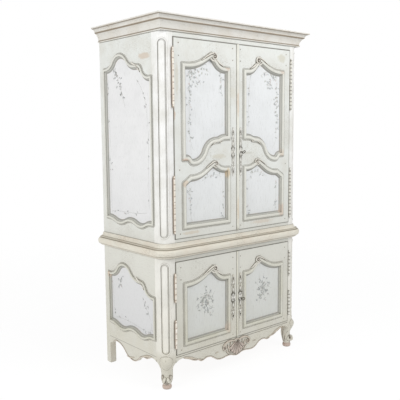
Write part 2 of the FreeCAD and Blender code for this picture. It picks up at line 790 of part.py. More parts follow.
def fluted(post, heights):
    """Carve the stopped flute on the rounded corner: a ridge, a channel and a reed."""
    z0, z1 = heights
    rim = (ridge_width - channel_width) / 2
    step = (channel_width - reed_width) / 2
    axis = Vector(case_half - corner_radius, corner_radius, z0 - 1)
    tall = z1 - z0 + 2
    outer = stadium(ridge_width, z0, z1)
    middle = stadium(channel_width, z0 + rim, z1 - rim)
    inner = stadium(reed_width, z0 + rim + step, z1 - rim - step)
    ridge = outer.cut(middle).common(Part.makeCylinder(corner_radius + ridge_height, tall, axis))
    channel = middle.cut(inner).cut(Part.makeCylinder(corner_radius - channel_depth, tall, axis))
    return post.fuse(ridge.cut(Part.makeCylinder(corner_radius - 1, tall, axis))).cut(channel)


def leg_section(z, outer, half_depth, half_width):
    """An oval section whose outer edge lies this far outside the post's corner."""
    corner = corner_radius * (1 - math.sqrt(0.5))
    diagonal = Vector(math.sqrt(0.5), -math.sqrt(0.5), 0)
    across = Vector(math.sqrt(0.5), math.sqrt(0.5), 0)
    centre = Vector(case_half - corner, corner, z) + diagonal * (outer - half_depth)
    oval = Part.Ellipse(centre + across * half_width, centre + diagonal * half_depth, centre)
    return Part.Wire([oval.toShape()])


def volute(side):
    """One scroll of the toe: a disc with a boss, tilted so that the pair opens upward."""
    eye_radius, eye_height = volute_eye
    disc = Part.makeCylinder(volute_radius, volute_width, Vector(0, 0, -volute_width / 2))
    rim = disc.makeChamfer(2, [edge for edge in disc.Edges if edge.Closed])
    eye = Part.makeCylinder(eye_radius, volute_width + 2 * eye_height,
                            Vector(0, 0, -volute_width / 2 - eye_height))
    scroll = rim.fuse(eye)
    scroll.rotate(Vector(0, 0, 0), Vector(0, 1, 0), 90 - side * volute_tilt)
    scroll.translate(Vector(side * volute_spread, volute_radius - volute_reach, volute_height))
    return scroll


def cabriole_leg():
    """Knee, ankle, scrolled toe and round pad, in one piece."""
    leg = Part.makeLoft([leg_section(*section) for section in leg_sections], True, False)
    corner = corner_radius * (1 - math.sqrt(0.5))
    apex = Vector(case_half - corner, corner, 0)
    toes = []
    for side in (1, -1):
        toe = volute(side)
        toe.rotate(Vector(0, 0, 0), Vector(0, 0, 1), 45)
        toe.translate(apex)
        toes.append(toe)
    rim = Part.Wire([
        Part.LineSegment(Vector(0, 0, 0), Vector(pad_radius - 4, 0, 0)).toShape(),
        Part.Arc(Vector(pad_radius - 4, 0, 0), Vector(pad_radius, 0, pad_height / 2),
                 Vector(pad_radius - 5, 0, pad_height)).toShape(),
        Part.LineSegment(Vector(pad_radius - 5, 0, pad_height), Vector(0, 0, pad_height)).toShape(),
        Part.LineSegment(Vector(0, 0, pad_height), Vector(0, 0, 0)).toShape(),
    ])
    pad = Part.Face(rim).revolve(Vector(0, 0, 0), Vector(0, 0, 1), 360)
    pad.translate(apex + Vector(-1, 1, 0) * (leg_setback * math.sqrt(0.5)))
    return leg.multiFuse(toes + [pad])


def front_void():
    """The space under the right half of the front apron, up to the leg."""
    outline = Outline(0, -below)
    outline.line(0, apron_valley)
    for distance, height in apron_waves:
        outline.ogee(distance, apron_valley + height)
    outline.ogee(opening_half - apron_shoulder, apron_peak)
    outline.arc(opening_half + arch_haunch[0], apron_peak - arch_haunch[1],
                opening_half + leg_side, wing_foot)
    outline.line(opening_half + leg_side, -below)
    return outline.prism(-post_side, post_side)


def side_void():
    """The space under the side apron, from the front leg to the rear leg."""
    leg_edge, haunch, haunch_height = side_leg
    rear_peak, rear_height = side_apron_rear
    outline = Outline(leg_edge, -below)
    outline.line(leg_edge, wing_foot)
    outline.arc(haunch, haunch_height, *side_apron[0])
    for distance, height in side_apron[1:]:
        outline.ogee(distance, height)
    outline.ogee(rear_face - rear_peak, side_apron[0][1])
    outline.ogee(rear_face, rear_height, 0.6)
    outline.line(rear_face, -below)
    void = turned_to_side(outline.prism(-post_side, post_side))
    void.translate(Vector(case_half, 0, 0))
    return void


def lower_front_post(leg):
    tapered = Part.makeLoft([post_section(wing_foot, wing_inset), post_section(wing_top)], True, True)
    post = post_prism(wing_top, base_top - board).fuse(tapered)
    post = fluted(post, flute_lower).cut(front_void()).cut(side_void())
    return post.fuse(leg).removeSplitter()


# ---- mouldings round the case --------------------------------------------------------------------
def cornice_face():
    """Bead, cove, fillet and flared top member, from the case face outward."""
    def up(height):
        return cornice_foot + height

    bead, bead_height = cornice_bead
    cove, cove_height = cornice_cove
    fillet, fillet_height = cove + cornice_fillet[0], cove_height + cornice_fillet[1]
    round_off, lip = cornice_lip
    outline = Outline(0, cornice_foot).line(bead, cornice_foot)
    outline.arc(bead + bead_height / 2, up(bead_height / 2), bead, up(bead_height))
    outline.arc(cornice_hollow[0], up(cornice_hollow[1]), cove, up(cove_height))
    outline.line(fillet, up(cove_height)).line(fillet, up(fillet_height))
    outline.arc(cornice_flare[0], up(cornice_flare[1]), cornice_overhang - round_off,
                case_height - lip - round_off)
    outline.line(cornice_overhang, case_height - lip).line(cornice_overhang, case_height)
    return outline.line(0, case_height)


def waist_face():
    """Hollow, round nosing, fillet and upper hollow, from the case face outward."""
    def at(reach, height):
        return reach, waist_foot + height

    edge, low, high = waist_nosing
    fillet, fillet_low, fillet_high = waist_fillet
    outline = Outline(0, waist_foot)
    outline.arc(*at(*waist_hollow[0]), *at(*waist_hollow[1]))
    outline.line(*at(edge, low))
    outline.arc(*at(waist_overhang, (low + high) / 2), *at(edge, high))
    outline.line(*at(fillet, fillet_low)).line(*at(fillet, fillet_high))
    outline.arc(*at(*waist_cap[0]), *at(*waist_cap[1]))
    return outline.line(waist_top_reach, waist_top).line(0, waist_top)


def half_plane(corner, outward):
    """A large block on one side of the mitre plane through a front corner."""
    block = box(-far, far, -far, 0, -1, case_height + 1)
    block.rotate(Vector(0, 0, 0), Vector(0, 0, 1), outward)
    block.translate(Vector(corner, 0, 0))
    return block


def cornice():
    """Front length and two returns, mitred at the corners."""
    front = cornice_face().wire()
    front.rotate(Vector(0, 0, 0), Vector(0, 0, 1), -90)
    run = Part.Face(front).extrude(Vector(2 * (case_half + cornice_overhang), 0, 0))
    run.translate(Vector(-case_half - cornice_overhang, 0, 0))
    run = run.common(half_plane(case_half, -45)).common(half_plane(-case_half, 45))
    side = Part.Face(cornice_face().wire()).extrude(Vector(0, case_depth + cornice_overhang, 0))
    side.translate(Vector(case_half, -cornice_overhang, 0))
    side = side.cut(half_plane(case_half, -45))
    return [run, side, mirrored(side)]


def waist_moulding():
    """Front and side lengths joined by turned quarter-round corners."""
    face = Part.Face(waist_face().wire())
    side = face.extrude(Vector(0, case_depth - corner_radius, 0))
    side.translate(Vector(case_half, corner_radius, 0))
    corner = face.copy()
    corner.translate(Vector(corner_radius, 0, 0))
    corner = corner.revolve(Vector(0, 0, 0), Vector(0, 0, 1), -90)
    corner.translate(Vector(case_half - corner_radius, corner_radius, 0))
    front = face.copy()
    front.rotate(Vector(0, 0, 0), Vector(0, 0, 1), -90)
    front = front.extrude(Vector(2 * (case_half - corner_radius), 0, 0))
    front.translate(Vector(corner_radius - case_half, 0, 0))
    return [front, corner, mirrored(corner), side, mirrored(side)]


# ---- boards --------------------------------------------------------------------------------------
def deck(top, thick=board):
    """A board cut round the four posts."""
    low = top - thick
    back = case_depth - back_thick - back_inset
    middle = box(-rail_inner, rail_inner, post_side, rear_face, low, top)
    middle = middle.fuse(box(-post_inner, post_inner, post_leaf, back, low, top))
    return middle.fuse(box(-opening_half, opening_half, rail_thick, post_leaf, low, top)).removeSplitter()


def shelf(top):
    half = post_inner - shelf_clearance
    back = case_depth - back_thick - back_inset - shelf_clearance
    return box(-half, half, post_leaf + shelf_clearance, back, top - board, top)


def pins_under(top):
    pins = []
    for side in (1, -1):
        for y in (post_side - 25, rear_face + 20):
            pin = Part.makeCylinder(shelf_pin, 2 * shelf_pin_reach,
                                    Vector(post_inner - shelf_pin_reach, y, top - board - shelf_pin),
                                    Vector(1, 0, 0))
            pins.append(on_side(pin, side))
    return pins


def side_rails(opening, low, high, void=None):
    """Top and bottom rail of a side frame, cut to the shaped opening."""
    blank = box(post_side, rear_face, -case_half, -rail_inner, low, high)
    field = blank.cut(opening.prism(-case_half - 1, -rail_inner + 1))
    rails = [turned_to_side(rail) for rail in field.Solids]
    return [rail.cut(void) if void else rail for rail in rails]


def side_panel(corners):
    """A side panel, cut back to the width between the posts."""
    blank = panel_blank(corners, tongue)
    blank = blank.common(box(post_side - tongue, rear_face + tongue, -far, far, 0, case_height))
    blank.translate(Vector(0, -case_half, 0))
    return turned_to_side(blank)


def side_moulding(opening):
    ring = ring_moulding(opening, moulding_side, 0)
    ring.translate(Vector(0, -case_half, 0))
    return turned_to_side(ring)


def back_boards(low, high, gap=None):
    """Horizontal boards between the rear posts; one row may leave a gap for cables."""
    front = case_depth - back_thick - back_inset
    back = case_depth - back_inset
    if gap is None:
        middle = (low + high) / 2
        return [box(-post_inner, post_inner, front, back, low, middle),
                box(-post_inner, post_inner, front, back, middle, high)]
    width, foot, top = gap
    return [box(-post_inner, post_inner, front, back, low, foot),
            box(-post_inner, -width / 2, front, back, foot, top),
            box(width / 2, post_inner, front, back, foot, top),
            box(-post_inner, post_inner, front, back, top, (top + high) / 2),
            box(-post_inner, post_inner, front, back, (top + high) / 2, high)]


def apron_shell():
    """The carved shell in the middle of the apron: a fan with scalloped lobes, and two leaves."""
    def at(degrees, radius):
        angle = math.radians(degrees)
        return radius * math.sin(angle), shell_hinge - radius * math.cos(angle)

    half_lobe = lobe_angle / 2
    edge = 3 * lobe_angle + half_lobe
    fan = Outline(*at(-edge, shell_eye)).line(*at(-edge, shell_reach - 3.5 * lobe_fall - lobe_bulge))
    for lobe in range(-3, 4):
        tip = at(lobe * lobe_angle, shell_reach - lobe_fall * abs(lobe))
        cusp = shell_reach - lobe_fall * abs(lobe + 0.5) - lobe_bulge
        fan.arc(*tip, *at(lobe * lobe_angle + half_lobe, cusp))
    fan.line(*at(edge, shell_eye)).arc(0, shell_hinge + shell_crest, *fan.first)
    shell = fan.prism(-shell_thick, 0)
    wide, deep = lobe_groove
    for lobe in range(-3, 3):
        groove = box(-wide / 2, wide / 2, -shell_thick - 1, deep - shell_thick, -shell_reach - 1,
                     -shell_eye - 2)
        groove.rotate(Vector(0, 0, 0), Vector(0, 1, 0), -(lobe * lobe_angle + half_lobe))
        groove.translate(Vector(0, 0, shell_hinge))
        shell = shell.cut(groove)
    start, tip, outer, notch, inner, end = shell_leaf
    for side in (1, -1):
        leaf = Outline(*start).swing(*tip).arc(*outer, *notch).arc(*inner, *end)
        shell = shell.fuse(on_side(leaf.prism(leaf_inset - shell_thick, 0), side))
    return shell


# ---- build every node ----------------------------------------------------------------------------
os.makedirs("parts", exist_ok=True)

upper_side_heights = (cornice_foot - side_crown_upper, base_top + side_foot_upper)
lower_side_heights = (base_top - side_crown_lower, side_foot_lower)
upper_side = side_opening(*upper_side_heights)
lower_side = side_opening(*lower_side_heights)
upper_panel = side_panel(side_corners(*upper_side_heights))
lower_panel = side_panel(side_corners(*lower_side_heights))
under_side = side_void()
under_front = front_void()

upper_hinges = (upper_opening[0] + upper_hinge_places[0], upper_opening[1] - upper_hinge_places[1],
                upper_hinge_length)
lower_hinges = (lower_opening[0] + lower_hinge_places[0], lower_opening[1] - lower_hinge_places[1],
                lower_hinge_length)
case_hinges = []
for low_centre, high_centre, length in (upper_hinges, lower_hinges):
    for centre in (low_centre, high_centre):
        half = hinge_half(centre, length, case_side=True)
        case_hinges += [half, mirrored(half)]

upper_pins = pins_under(upper_shelf)
lower_pins = pins_under(lower_shelf)


def fitted(piece, cutters):
    """Cut the seats of the pieces that are let into this one."""
    for cutter in cutters:
        piece = piece.cut(cutter)
    return piece


upper_front_post = fluted(post_prism(base_top, upper_top), flute_upper)
upper_front_post = fitted(upper_front_post, case_hinges[0::2] + upper_pins[:2] + [upper_panel])
leg = cabriole_leg()
legs = [leg, mirrored(leg)]
lower_front = fitted(lower_front_post(leg), case_hinges[0::2] + lower_pins[:2] + [lower_panel])
upper_rear_post = box(post_inner, case_half, rear_face, case_depth, base_top, upper_top)
upper_rear_post = fitted(upper_rear_post, upper_pins[:2] + [upper_panel])
lower_rear_post = box(post_inner, case_half, rear_face, case_depth, 0, base_top - board)
foot_edges = [edge for edge in lower_rear_post.Edges if edge.BoundBox.ZMax < 1]
lower_rear_post = lower_rear_post.makeChamfer(leg_chamfer, foot_edges)
lower_rear_post = fitted(lower_rear_post, lower_pins[:2] + [lower_panel])

for side, name in ((-1, "left"), (1, "right")):
    save("upper_post_" + name, on_side(upper_front_post, side))
    save("lower_post_" + name, on_side(lower_front, side))
    rails = side_rails(upper_side, base_top, upper_top)
    save("upper_side_rails_" + name, [on_side(fitted(rail, [upper_panel]), side) for rail in rails])
    rails = side_rails(lower_side, apron_foot, base_top - board, under_side)
    save("lower_side_rails_" + name, [on_side(fitted(rail, [lower_panel]), side) for rail in rails])
    save("upper_side_panel_" + name, on_side(upper_panel, side))
    save("lower_side_panel_" + name, on_side(lower_panel, side))
save("upper_rear_posts", [upper_rear_post, mirrored(upper_rear_post)])
save("lower_rear_posts", [lower_rear_post, mirrored(lower_rear_post)])
upper_ring = side_moulding(upper_side)
lower_ring = side_moulding(lower_side)
save("upper_side_mouldings", [upper_ring, mirrored(upper_ring)])
save("lower_side_mouldings", [lower_ring, mirrored(lower_ring)])

save("upper_top_rail", box(-opening_half, opening_half, 0, rail_thick, upper_opening[1], upper_top))
save("upper_bottom_rail", box(-opening_half, opening_half, 0, rail_thick, base_top, upper_opening[0]))
save("lower_top_rail", box(-opening_half, opening_half, 0, rail_thick, lower_opening[1],
                           base_top - board))
groove_drop, groove_width, groove_depth = apron_groove
groove_top = lower_opening[0] - groove_drop
apron = box(-opening_half, opening_half, 0, rail_thick, apron_foot, lower_opening[0])
line = box(-opening_half - 1, opening_half + 1, -1, groove_depth, groove_top - groove_width, groove_top)
apron = fitted(apron, [line, under_front, mirrored(under_front)] + legs)
save("front_apron", apron)
save("apron_shell", apron_shell())
save("cornice", cornice())
save("waist_moulding", waist_moulding())

corner_block = Part.makeCylinder(corner_radius, board,
                                 Vector(case_half - corner_radius, corner_radius, base_top - board))
base = box(-case_half, case_half, corner_radius, case_depth, base_top - board, base_top)
base = base.fuse(box(corner_radius - case_half, case_half - corner_radius, 0, corner_radius,
                     base_top - board, base_top))
base = base.multiFuse([corner_block, mirrored(corner_block)]).removeSplitter()
save("base_top_board", base)

rod_x = upper_plate_x[0] - rod_inset
rod_seats = []
for low, top in ((upper_opening[0], upper_deck), (lower_opening[0], lower_deck)):
    rod_seats.append(Part.makeCylinder(rod_hole, 2 * board,
                                       Vector(rod_x, door_back + rod_standoff, top - 1.5 * board)))
save("upper_deck", deck(upper_deck).cut(rod_seats[0]))
save("lower_deck", fitted(deck(lower_deck, lower_deck_thick), [rod_seats[1]] + legs))
save("top_board", deck(top_board, top_board_thick))
save("upper_shelf", shelf(upper_shelf))
save("lower_shelf", shelf(lower_shelf))
save("shelf_pins", upper_pins + lower_pins)
save("upper_back", back_boards(base_top, upper_top, cable_opening))
save("lower_back", back_boards(lower_deck - lower_deck_thick, base_top - board))
save("case_hinge_halves", case_hinges)

doors = (
    ("upper", upper_opening, [tall_opening, small_opening], [tall_corners, small_corners],
     upper_hinges, bead_upper, upper_plate, upper_plate_x, upper_key),
    ("lower", lower_opening, [lower_opening_outline], [lower_corners],
     lower_hinges, bead_lower, lower_plate, lower_plate_x, lower_key),
)
for level, heights, openings, corners, hinges, bead, plate, plate_x, key_lift in doors:
    key_height = heights[0] + key_lift
    blanks = [panel_blank(corner_list(), tongue) for corner_list in corners]
    blanks = [blank.common(box(stile_x - tongue, hinge_stile_x + tongue, -far, far, 0, case_height))
              for blank in blanks]
    mouldings = door_mouldings([opening() for opening in openings])
    halves = [hinge_half(centre, hinges[2], case_side=False) for centre in hinges[:2]]
    for side, name in ((-1, "left"), (1, "right")):
        prefix = level + "_" + name + "_"
        frame = door_frame(heights, [opening() for opening in openings], blanks, hinges, bead, side)
        frame = [on_side(piece, side) for piece in frame]
        x = plate_x[0] if side < 0 else plate_x[1]
        keyway = Part.makeCylinder(key_radius + key_clearance, 2 * door_thick,
                                   Vector(x, -door_thick, key_height), Vector(0, 1, 0))
        fittings = [escutcheon(x, heights[0] + plate[0], plate[1], key_height)]
        if side > 0:
            frame = fitted(frame[0], [keyway]).Solids + frame[1:]
            fittings.append(lock_case(key_height))
            save(level + "_key", key(x, key_height))
            save(level + "_lock_bolt", lock_bolt(key_height, x))
        else:
            low = heights[0] + height_gap
            fittings.append(strike(key_height))
            fittings += rod_guides(rod_x, low)
            save(level + "_slide_bolt", slide_rod(rod_x, low))
        save(prefix + "door_frame", frame)
        save(prefix + "door_panels", [on_side(blank.translated(Vector(0, door_face, 0)), side)
                                      for blank in blanks])
        save(prefix + "door_mouldings", [on_side(ring, side) for ring in mouldings])
        save(prefix + "door_hinge_halves", [on_side(half, side) for half in halves])
        save(prefix + "lock_plates", fittings)
print("armoire built")
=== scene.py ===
import json
import math
from functools import partial

import bmesh
import bpy
import numpy as np
from mathutils import Matrix, Vector
from mathutils.bvhtree import BVHTree


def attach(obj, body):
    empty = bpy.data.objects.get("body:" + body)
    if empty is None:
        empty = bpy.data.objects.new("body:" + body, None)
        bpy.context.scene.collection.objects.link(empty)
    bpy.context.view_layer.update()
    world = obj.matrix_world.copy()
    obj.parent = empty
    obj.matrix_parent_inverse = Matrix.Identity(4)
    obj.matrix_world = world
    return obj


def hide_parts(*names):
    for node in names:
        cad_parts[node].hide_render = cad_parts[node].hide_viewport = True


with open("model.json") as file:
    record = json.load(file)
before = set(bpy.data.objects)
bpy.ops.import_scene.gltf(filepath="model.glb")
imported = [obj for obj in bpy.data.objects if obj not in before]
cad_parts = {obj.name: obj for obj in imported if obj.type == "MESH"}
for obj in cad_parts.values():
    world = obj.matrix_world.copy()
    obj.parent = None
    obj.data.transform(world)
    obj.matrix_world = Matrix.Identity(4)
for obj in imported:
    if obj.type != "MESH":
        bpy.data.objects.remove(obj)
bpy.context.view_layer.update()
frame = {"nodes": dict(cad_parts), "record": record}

nodes = frame["nodes"]


# materials: helpers

def hexColour(code):
    # sRGB hex to linear light
    parts = [int(code[i:i + 2], 16) / 255 for i in (1, 3, 5)]
    return tuple(p / 12.92 if p <= 0.04045 else ((p + 0.055) / 1.055) ** 2.4 for p in parts) + (1.0,)


def grey(value):
    return (value, value, value, 1.0)


def addNode(tree, kind, *inputs, **named):
    # One node. A small initial names a setting, a capital an input, with _ for a space; other inputs come in
    # order. An input is a value, a socket, a node whose first output feeds it, or None to leave it alone.
    made = tree.nodes.new("ShaderNode" + kind)
    places = dict(enumerate(inputs))
    for name, value in named.items():
        if name[0].islower():
            setattr(made, name, value)
        else:
            places[name.replace("_", " ")] = value
    for place, value in places.items():
        source = value.outputs[0] if isinstance(value, bpy.types.Node) else value
        if isinstance(source, bpy.types.NodeSocket):
            tree.links.new(source, made.inputs[place])
        elif source is not None:
            made.inputs[place].default_value = source
    return made


def addObject(name, data):
    made = bpy.data.objects.new(name, data)
    bpy.context.scene.collection.objects.link(made)
    return made


def blankMaterial(name):
    # an empty material, what adds nodes to it, and its Object coordinates
    made = bpy.data.materials.new(name)
    made.use_nodes = True
    made.node_tree.nodes.clear()
    add = partial(addNode, made.node_tree)
    return made, add, add("TexCoord").outputs["Object"]


def stops(ramp, pairs):
    # colour ramp stops, given as (place, linear colour)
    band = ramp.color_ramp
    while len(band.elements) > 1:
        band.elements.remove(band.elements[0])
    band.elements[0].position, band.elements[0].color = pairs[0]
    for place, colour in pairs[1:]:
        band.elements.new(place).color = colour
    return ramp.outputs["Color"]


def finishMaterial(made, add, colour, height, strength, depth, **surface):
    # the surface, with fine relief from a height, ends a material
    raised = add("Bump", Strength=strength, Distance=depth, Height=height)
    shader = add("BsdfPrincipled", Base_Color=colour, Normal=raised, **surface)
    add("OutputMaterial", Surface=shader)
    return made


def layCoats(add, colour, coats):
    # Coats laid over a colour in turn: each is its mask and its hex colour. Between the two may stand a
    # range: the mask's values where the coat is bare and where it is full, and how much it covers there.
    for mask, *span, tone in coats:
        if span:
            bare, full, cover = span
            mask = add("MapRange", Value=mask, From_Min=bare, From_Max=full, To_Max=cover)
        colour = add("Mix", mask, *[None] * 5, colour, hexColour(tone), data_type="RGBA").outputs[2]
    return colour


# camera, light and floor

cameraView = {"place": (-2.7896, -3.1894, 1.6254), "yaw": 0.7090, "pitch": -0.1165, "roll": -0.0076,
              "lens": 54.235, "sensor": 36, "shift": (0.000225, 0.0011)}


def placeCamera(view):
    yaw, pitch, roll = view["yaw"], view["pitch"], view["roll"]
    ahead = Vector((math.sin(yaw) * math.cos(pitch), math.cos(yaw) * math.cos(pitch), math.sin(pitch)))
    right = Vector((math.cos(yaw), -math.sin(yaw), 0))
    up = right.cross(ahead)
    tilted = math.cos(roll) * right + math.sin(roll) * up
    upright = -math.sin(roll) * right + math.cos(roll) * up
    data = bpy.data.cameras.new("viewCamera")
    data.lens, data.sensor_width = view["lens"], view["sensor"]
    data.shift_x, data.shift_y = view["shift"]
    made = addObject("viewCamera", data)
    turn = Matrix((tilted, upright, -ahead)).transposed().to_4x4()
    made.matrix_world = Matrix.Translation(view["place"]) @ turn
    bpy.context.scene.camera = made


# lamps: place, what they point at, size in m and power in W
studio = {"ambient": 0.52, "backdrop": 1.0, "floorSize": 14.0, "floorFade": (1.0, 5.0), "floorGlow": 0.93,
          "floorColour": 0.08,
          "lamps": {"front": ((0.7, -3.2, 3.5), (0.1, -0.3, 1.5), 2.0, 74.0),
                    "side": ((-4.6, -0.6, 2.6), (-0.6, 0.0, 1.3), 2.2, 100.0)}}


def makeStudio(values):
    world = bpy.data.worlds.new("studioWorld")
    world.use_nodes = True
    world.node_tree.nodes.clear()
    add = partial(addNode, world.node_tree)
    path = add("LightPath")
    light = add("Background", Color=grey(1.0), Strength=values["ambient"])
    seen = add("Background", Color=grey(1.0), Strength=values["backdrop"])
    both = add("MixShader", path.outputs["Is Camera Ray"], light, seen)
    add("OutputWorld", Surface=both)
    bpy.context.scene.world = world
    for name, (place, target, size, power) in values["lamps"].items():
        data = bpy.data.lights.new(name + "Lamp", "AREA")
        data.shape, data.size, data.energy = "SQUARE", size, power
        lamp = addObject(name + "Lamp", data)
        lamp.location = place
        lamp.rotation_euler = (Vector(target) - Vector(place)).to_track_quat("-Z", "Y").to_euler()
    # the floor fades into the backdrop with distance
    half = values["floorSize"] / 2
    mesh = bpy.data.meshes.new("studioFloor")
    mesh.from_pydata([(-half, -half, 0), (half, -half, 0), (half, half, 0), (-half, half, 0)], [],
                     [(0, 1, 2, 3)])
    floor = addObject("studioFloor", mesh)
    made, add, where = blankMaterial("paleStudioFloor")
    reach = add("VectorMath", where, operation="LENGTH")
    near, far = values["floorFade"]
    fade = add("MapRange", Value=reach.outputs["Value"], From_Min=near, From_Max=far)
    matt = add("BsdfDiffuse", Color=grey(values["floorColour"]))
    lift = add("Emission", Color=grey(1.0), Strength=values["floorGlow"])
    pale = add("AddShader", matt, lift)
    mixed = add("MixShader", fade, pale, add("BsdfTransparent"))
    add("OutputMaterial", Surface=mixed)
    mesh.materials.append(made)


placeCamera(cameraView)
makeStudio(studio)
bpy.context.scene.view_settings.view_transform = "Standard"
print("camera, light and floor are in place")


# paint, metal and wood

# Distressed milk paint over a tan ground, rubbed with a grey-brown glaze. It is matt and chalky, brushed in
# fine drags, dark in every quirk from glaze and painted shade, darker low down from painted shade, worn to
# the ground on some arrises and spattered with fine specks.
# patches: places rubbed through, as centre, reach along x, y and z in m, colour and strength
# cove: painted shade with glaze in the hollow beside a panel, as axis and the two distances from the middle
# where its grey fades in
# edges: painted-in shadow lines as axis, distance along it in m, half width and strength; a plus before the
# axis keeps a line to that side
houseLook = {"high": "#dfe1dd", "low": "#cbc8bb", "mottle": "#d2d1c9", "stain": 0.7, "ground": "#bda388",
             "line": "#6f6d64", "glaze": "#827e72", "glazeShare": 0.6, "glazeReach": 0.006, "wear": 0.4,
             "streak": (70, 70, 7), "scratchTone": "#98907f", "coveTone": "#8f8f8a",
             "kneeTone": "#b9b5a6", "padTone": "#baa99d", "spatter": "#5b4a38"}
panelLook = {"stain": 0.35, "glazeReach": 0.010, "wear": 0.2, "streak": (60, 60, 6)}
trimLook = {"scratch": 0.6, "wear": 0.5, "streak": (7, 7, 60)}
rubbedPatches = [
    ((-0.612, -0.14, 2.075), (0.02, 0.075, 0.022), "#c9b8a6", 0.7),
    ((0.435, -0.314, 2.115), (0.045, 0.02, 0.035), "#c9c6b6", 0.7),
    ((-0.500, -0.314, 1.93), (0.016, 0.03, 0.12), "#c9c4b4", 0.5),
    ((-0.045, -0.314, 1.86), (0.05, 0.03, 0.045), "#cfcbbc", 0.4),
    ((-0.16, -0.314, 1.455), (0.07, 0.02, 0.018), "#cbc7b8", 0.6),
    ((0.10, -0.314, 1.47), (0.06, 0.02, 0.01), "#c4c2b8", 0.6),
    ((-0.40, -0.314, 0.985), (0.09, 0.02, 0.012), "#c9bba6", 0.5),
    ((0.25, -0.314, 0.99), (0.12, 0.02, 0.014), "#cdbfae", 0.5),
    ((-0.530, -0.318, 1.72), (0.02, 0.03, 0.05), "#c9a584", 0.6),
    ((-0.535, -0.318, 1.30), (0.014, 0.03, 0.12), "#cdb89c", 0.5)]
cornerPatches = [
    ((-0.45, -0.32, 1.425), (0.05, 0.03, 0.03), "#c9ab94", 0.65),
    ((-0.085, -0.32, 1.345), (0.02, 0.03, 0.04), "#ccb48f", 0.65),
    ((-0.085, -0.32, 2.03), (0.03, 0.03, 0.03), "#c9b19f", 0.6),
    ((0.44, -0.32, 2.03), (0.03, 0.03, 0.03), "#c7b3a2", 0.5),
    ((0.44, -0.32, 1.45), (0.03, 0.03, 0.05), "#cdbba8", 0.5),
    ((0.44, -0.32, 1.05), (0.03, 0.03, 0.06), "#cbb3a0", 0.55),
    ((-0.45, -0.32, 1.30), (0.03, 0.03, 0.03), "#cdb59a", 0.5),
    ((-0.10, -0.32, 1.535), (0.05, 0.03, 0.02), "#d1bbac", 0.6),
    ((-0.61, 0.31, 0.66), (0.03, 0.03, 0.04), "#cbb39d", 0.6),
    ((-0.08, -0.32, 0.30), (0.03, 0.03, 0.05), "#cfbcab", 0.5)]
mouldingLook = {"glazeShare": 0.9, "glazeReach": 0.005, "streak": (30, 30, 30), "patches": cornerPatches,
                "high": "#dcdcd4", "low": "#c6c4b4", "ground": "#c4ae9c"}
paints = {
    "framePaint": {"scratch": 0.55, "glazeShare": 0.95, "patches": rubbedPatches,
                   "edges": [("+X", 0.0216, 0.0016, 0.6), ("X", 0.5230, 0.0024, 0.8),
                             ("Z", 2.1750, 0.0024, 0.9), ("Z", 0.9580, 0.0016, 0.6),
                             ("Z", 0.8105, 0.0018, 0.6), ("Z", 0.2155, 0.0022, 0.75)]},
    "beadPaint": {"glazeReach": 0.004, "wear": 0.2, "high": "#e4e4da", "low": "#cdcab9",
                  "edges": [("X", 0.0192, 0.0013, 0.5)],
                  "patches": [((0.01, -0.32, 1.80), (0.016, 0.03, 0.10), "#cdb7a2", 0.5),
                              ((0.01, -0.32, 1.10), (0.016, 0.03, 0.10), "#cfbca3", 0.5)]},
    "railPaint": {"scratch": 0.45, "glazeShare": 0.85, "streak": (7, 7, 70), "patches": rubbedPatches,
                  "edges": [("Z", 0.1995, 0.0016, 0.6)]},
    "postPaint": {"wear": 0.35, "high": "#eeeeec", "low": "#e0ddd2", "padTop": 0.03},
    "rearPostPaint": {"wear": 0.35},
    "frontPanelPaint": {**panelLook, "high": "#e3e5e6", "low": "#c9cac3", "mottle": "#d3d5d5",
                        "glazeShare": 0.75},
    "sidePanelPaint": {**panelLook, "high": "#e4e4e4", "low": "#cdcdcd", "mottle": "#d3d4d4",
                       "glazeShare": 0.7},
    "doorMouldingPaint": {**mouldingLook, "cove": ("Y", 0.3145, 0.3065),
                          "edges": [("Y", 0.3157, 0.0014, 0.85), ("Y", 0.3212, 0.0009, 0.55)]},
    "sideMouldingPaint": {**mouldingLook, "cove": ("X", 0.6125, 0.6045),
                          "edges": [("X", 0.6137, 0.0014, 0.85), ("X", 0.6192, 0.0009, 0.55)]},
    "corniceMouldingPaint": {**trimLook, "line": "#857560", "glazeShare": 0.75, "glazeReach": 0.01,
                             "high": "#dddbd5", "mottle": "#d0c9bd",
                             "edges": [("Z", 2.2165, 0.0034, 0.9), ("Z", 2.2665, 0.0038, 0.9),
                                       ("Z", 2.2905, 0.0018, 0.7)]},
    "waistPaint": {**trimLook, "line": "#7d6f58", "glazeReach": 0.008, "low": "#dbd7ca",
                   "high": "#dbd7ca", "mottle": "#d6cbbb",
                   "edges": [("Z", 0.8565, 0.0022, 0.85), ("Z", 0.8995, 0.0020, 0.7),
                             ("Z", 0.9085, 0.0013, 0.6)]},
    "carvedPaint": {"high": "#c9bdb0", "low": "#c9bdb0", "mottle": "#bba998", "glaze": "#756455",
                    "glazeShare": 0.95, "glazeReach": 0.008, "wear": 0.6, "streak": (30, 30, 30)}}


def roundMask(add, where, centre, reach):
    # 1 at the middle of an ellipsoid and 0 at its skin, with an edge broken by noise
    apart = add("VectorMath", where, centre, operation="SUBTRACT")
    scaled = add("VectorMath", apart, reach, operation="DIVIDE")
    far = add("VectorMath", scaled, operation="LENGTH")
    ragged = add("TexNoise", Vector=where, Scale=45.0, Detail=4.0)
    shaken = add("Math", ragged, 1.1, far.outputs["Value"], operation="MULTIPLY_ADD")
    return add("MapRange", Value=shaken, From_Min=1.55, From_Max=1.15)


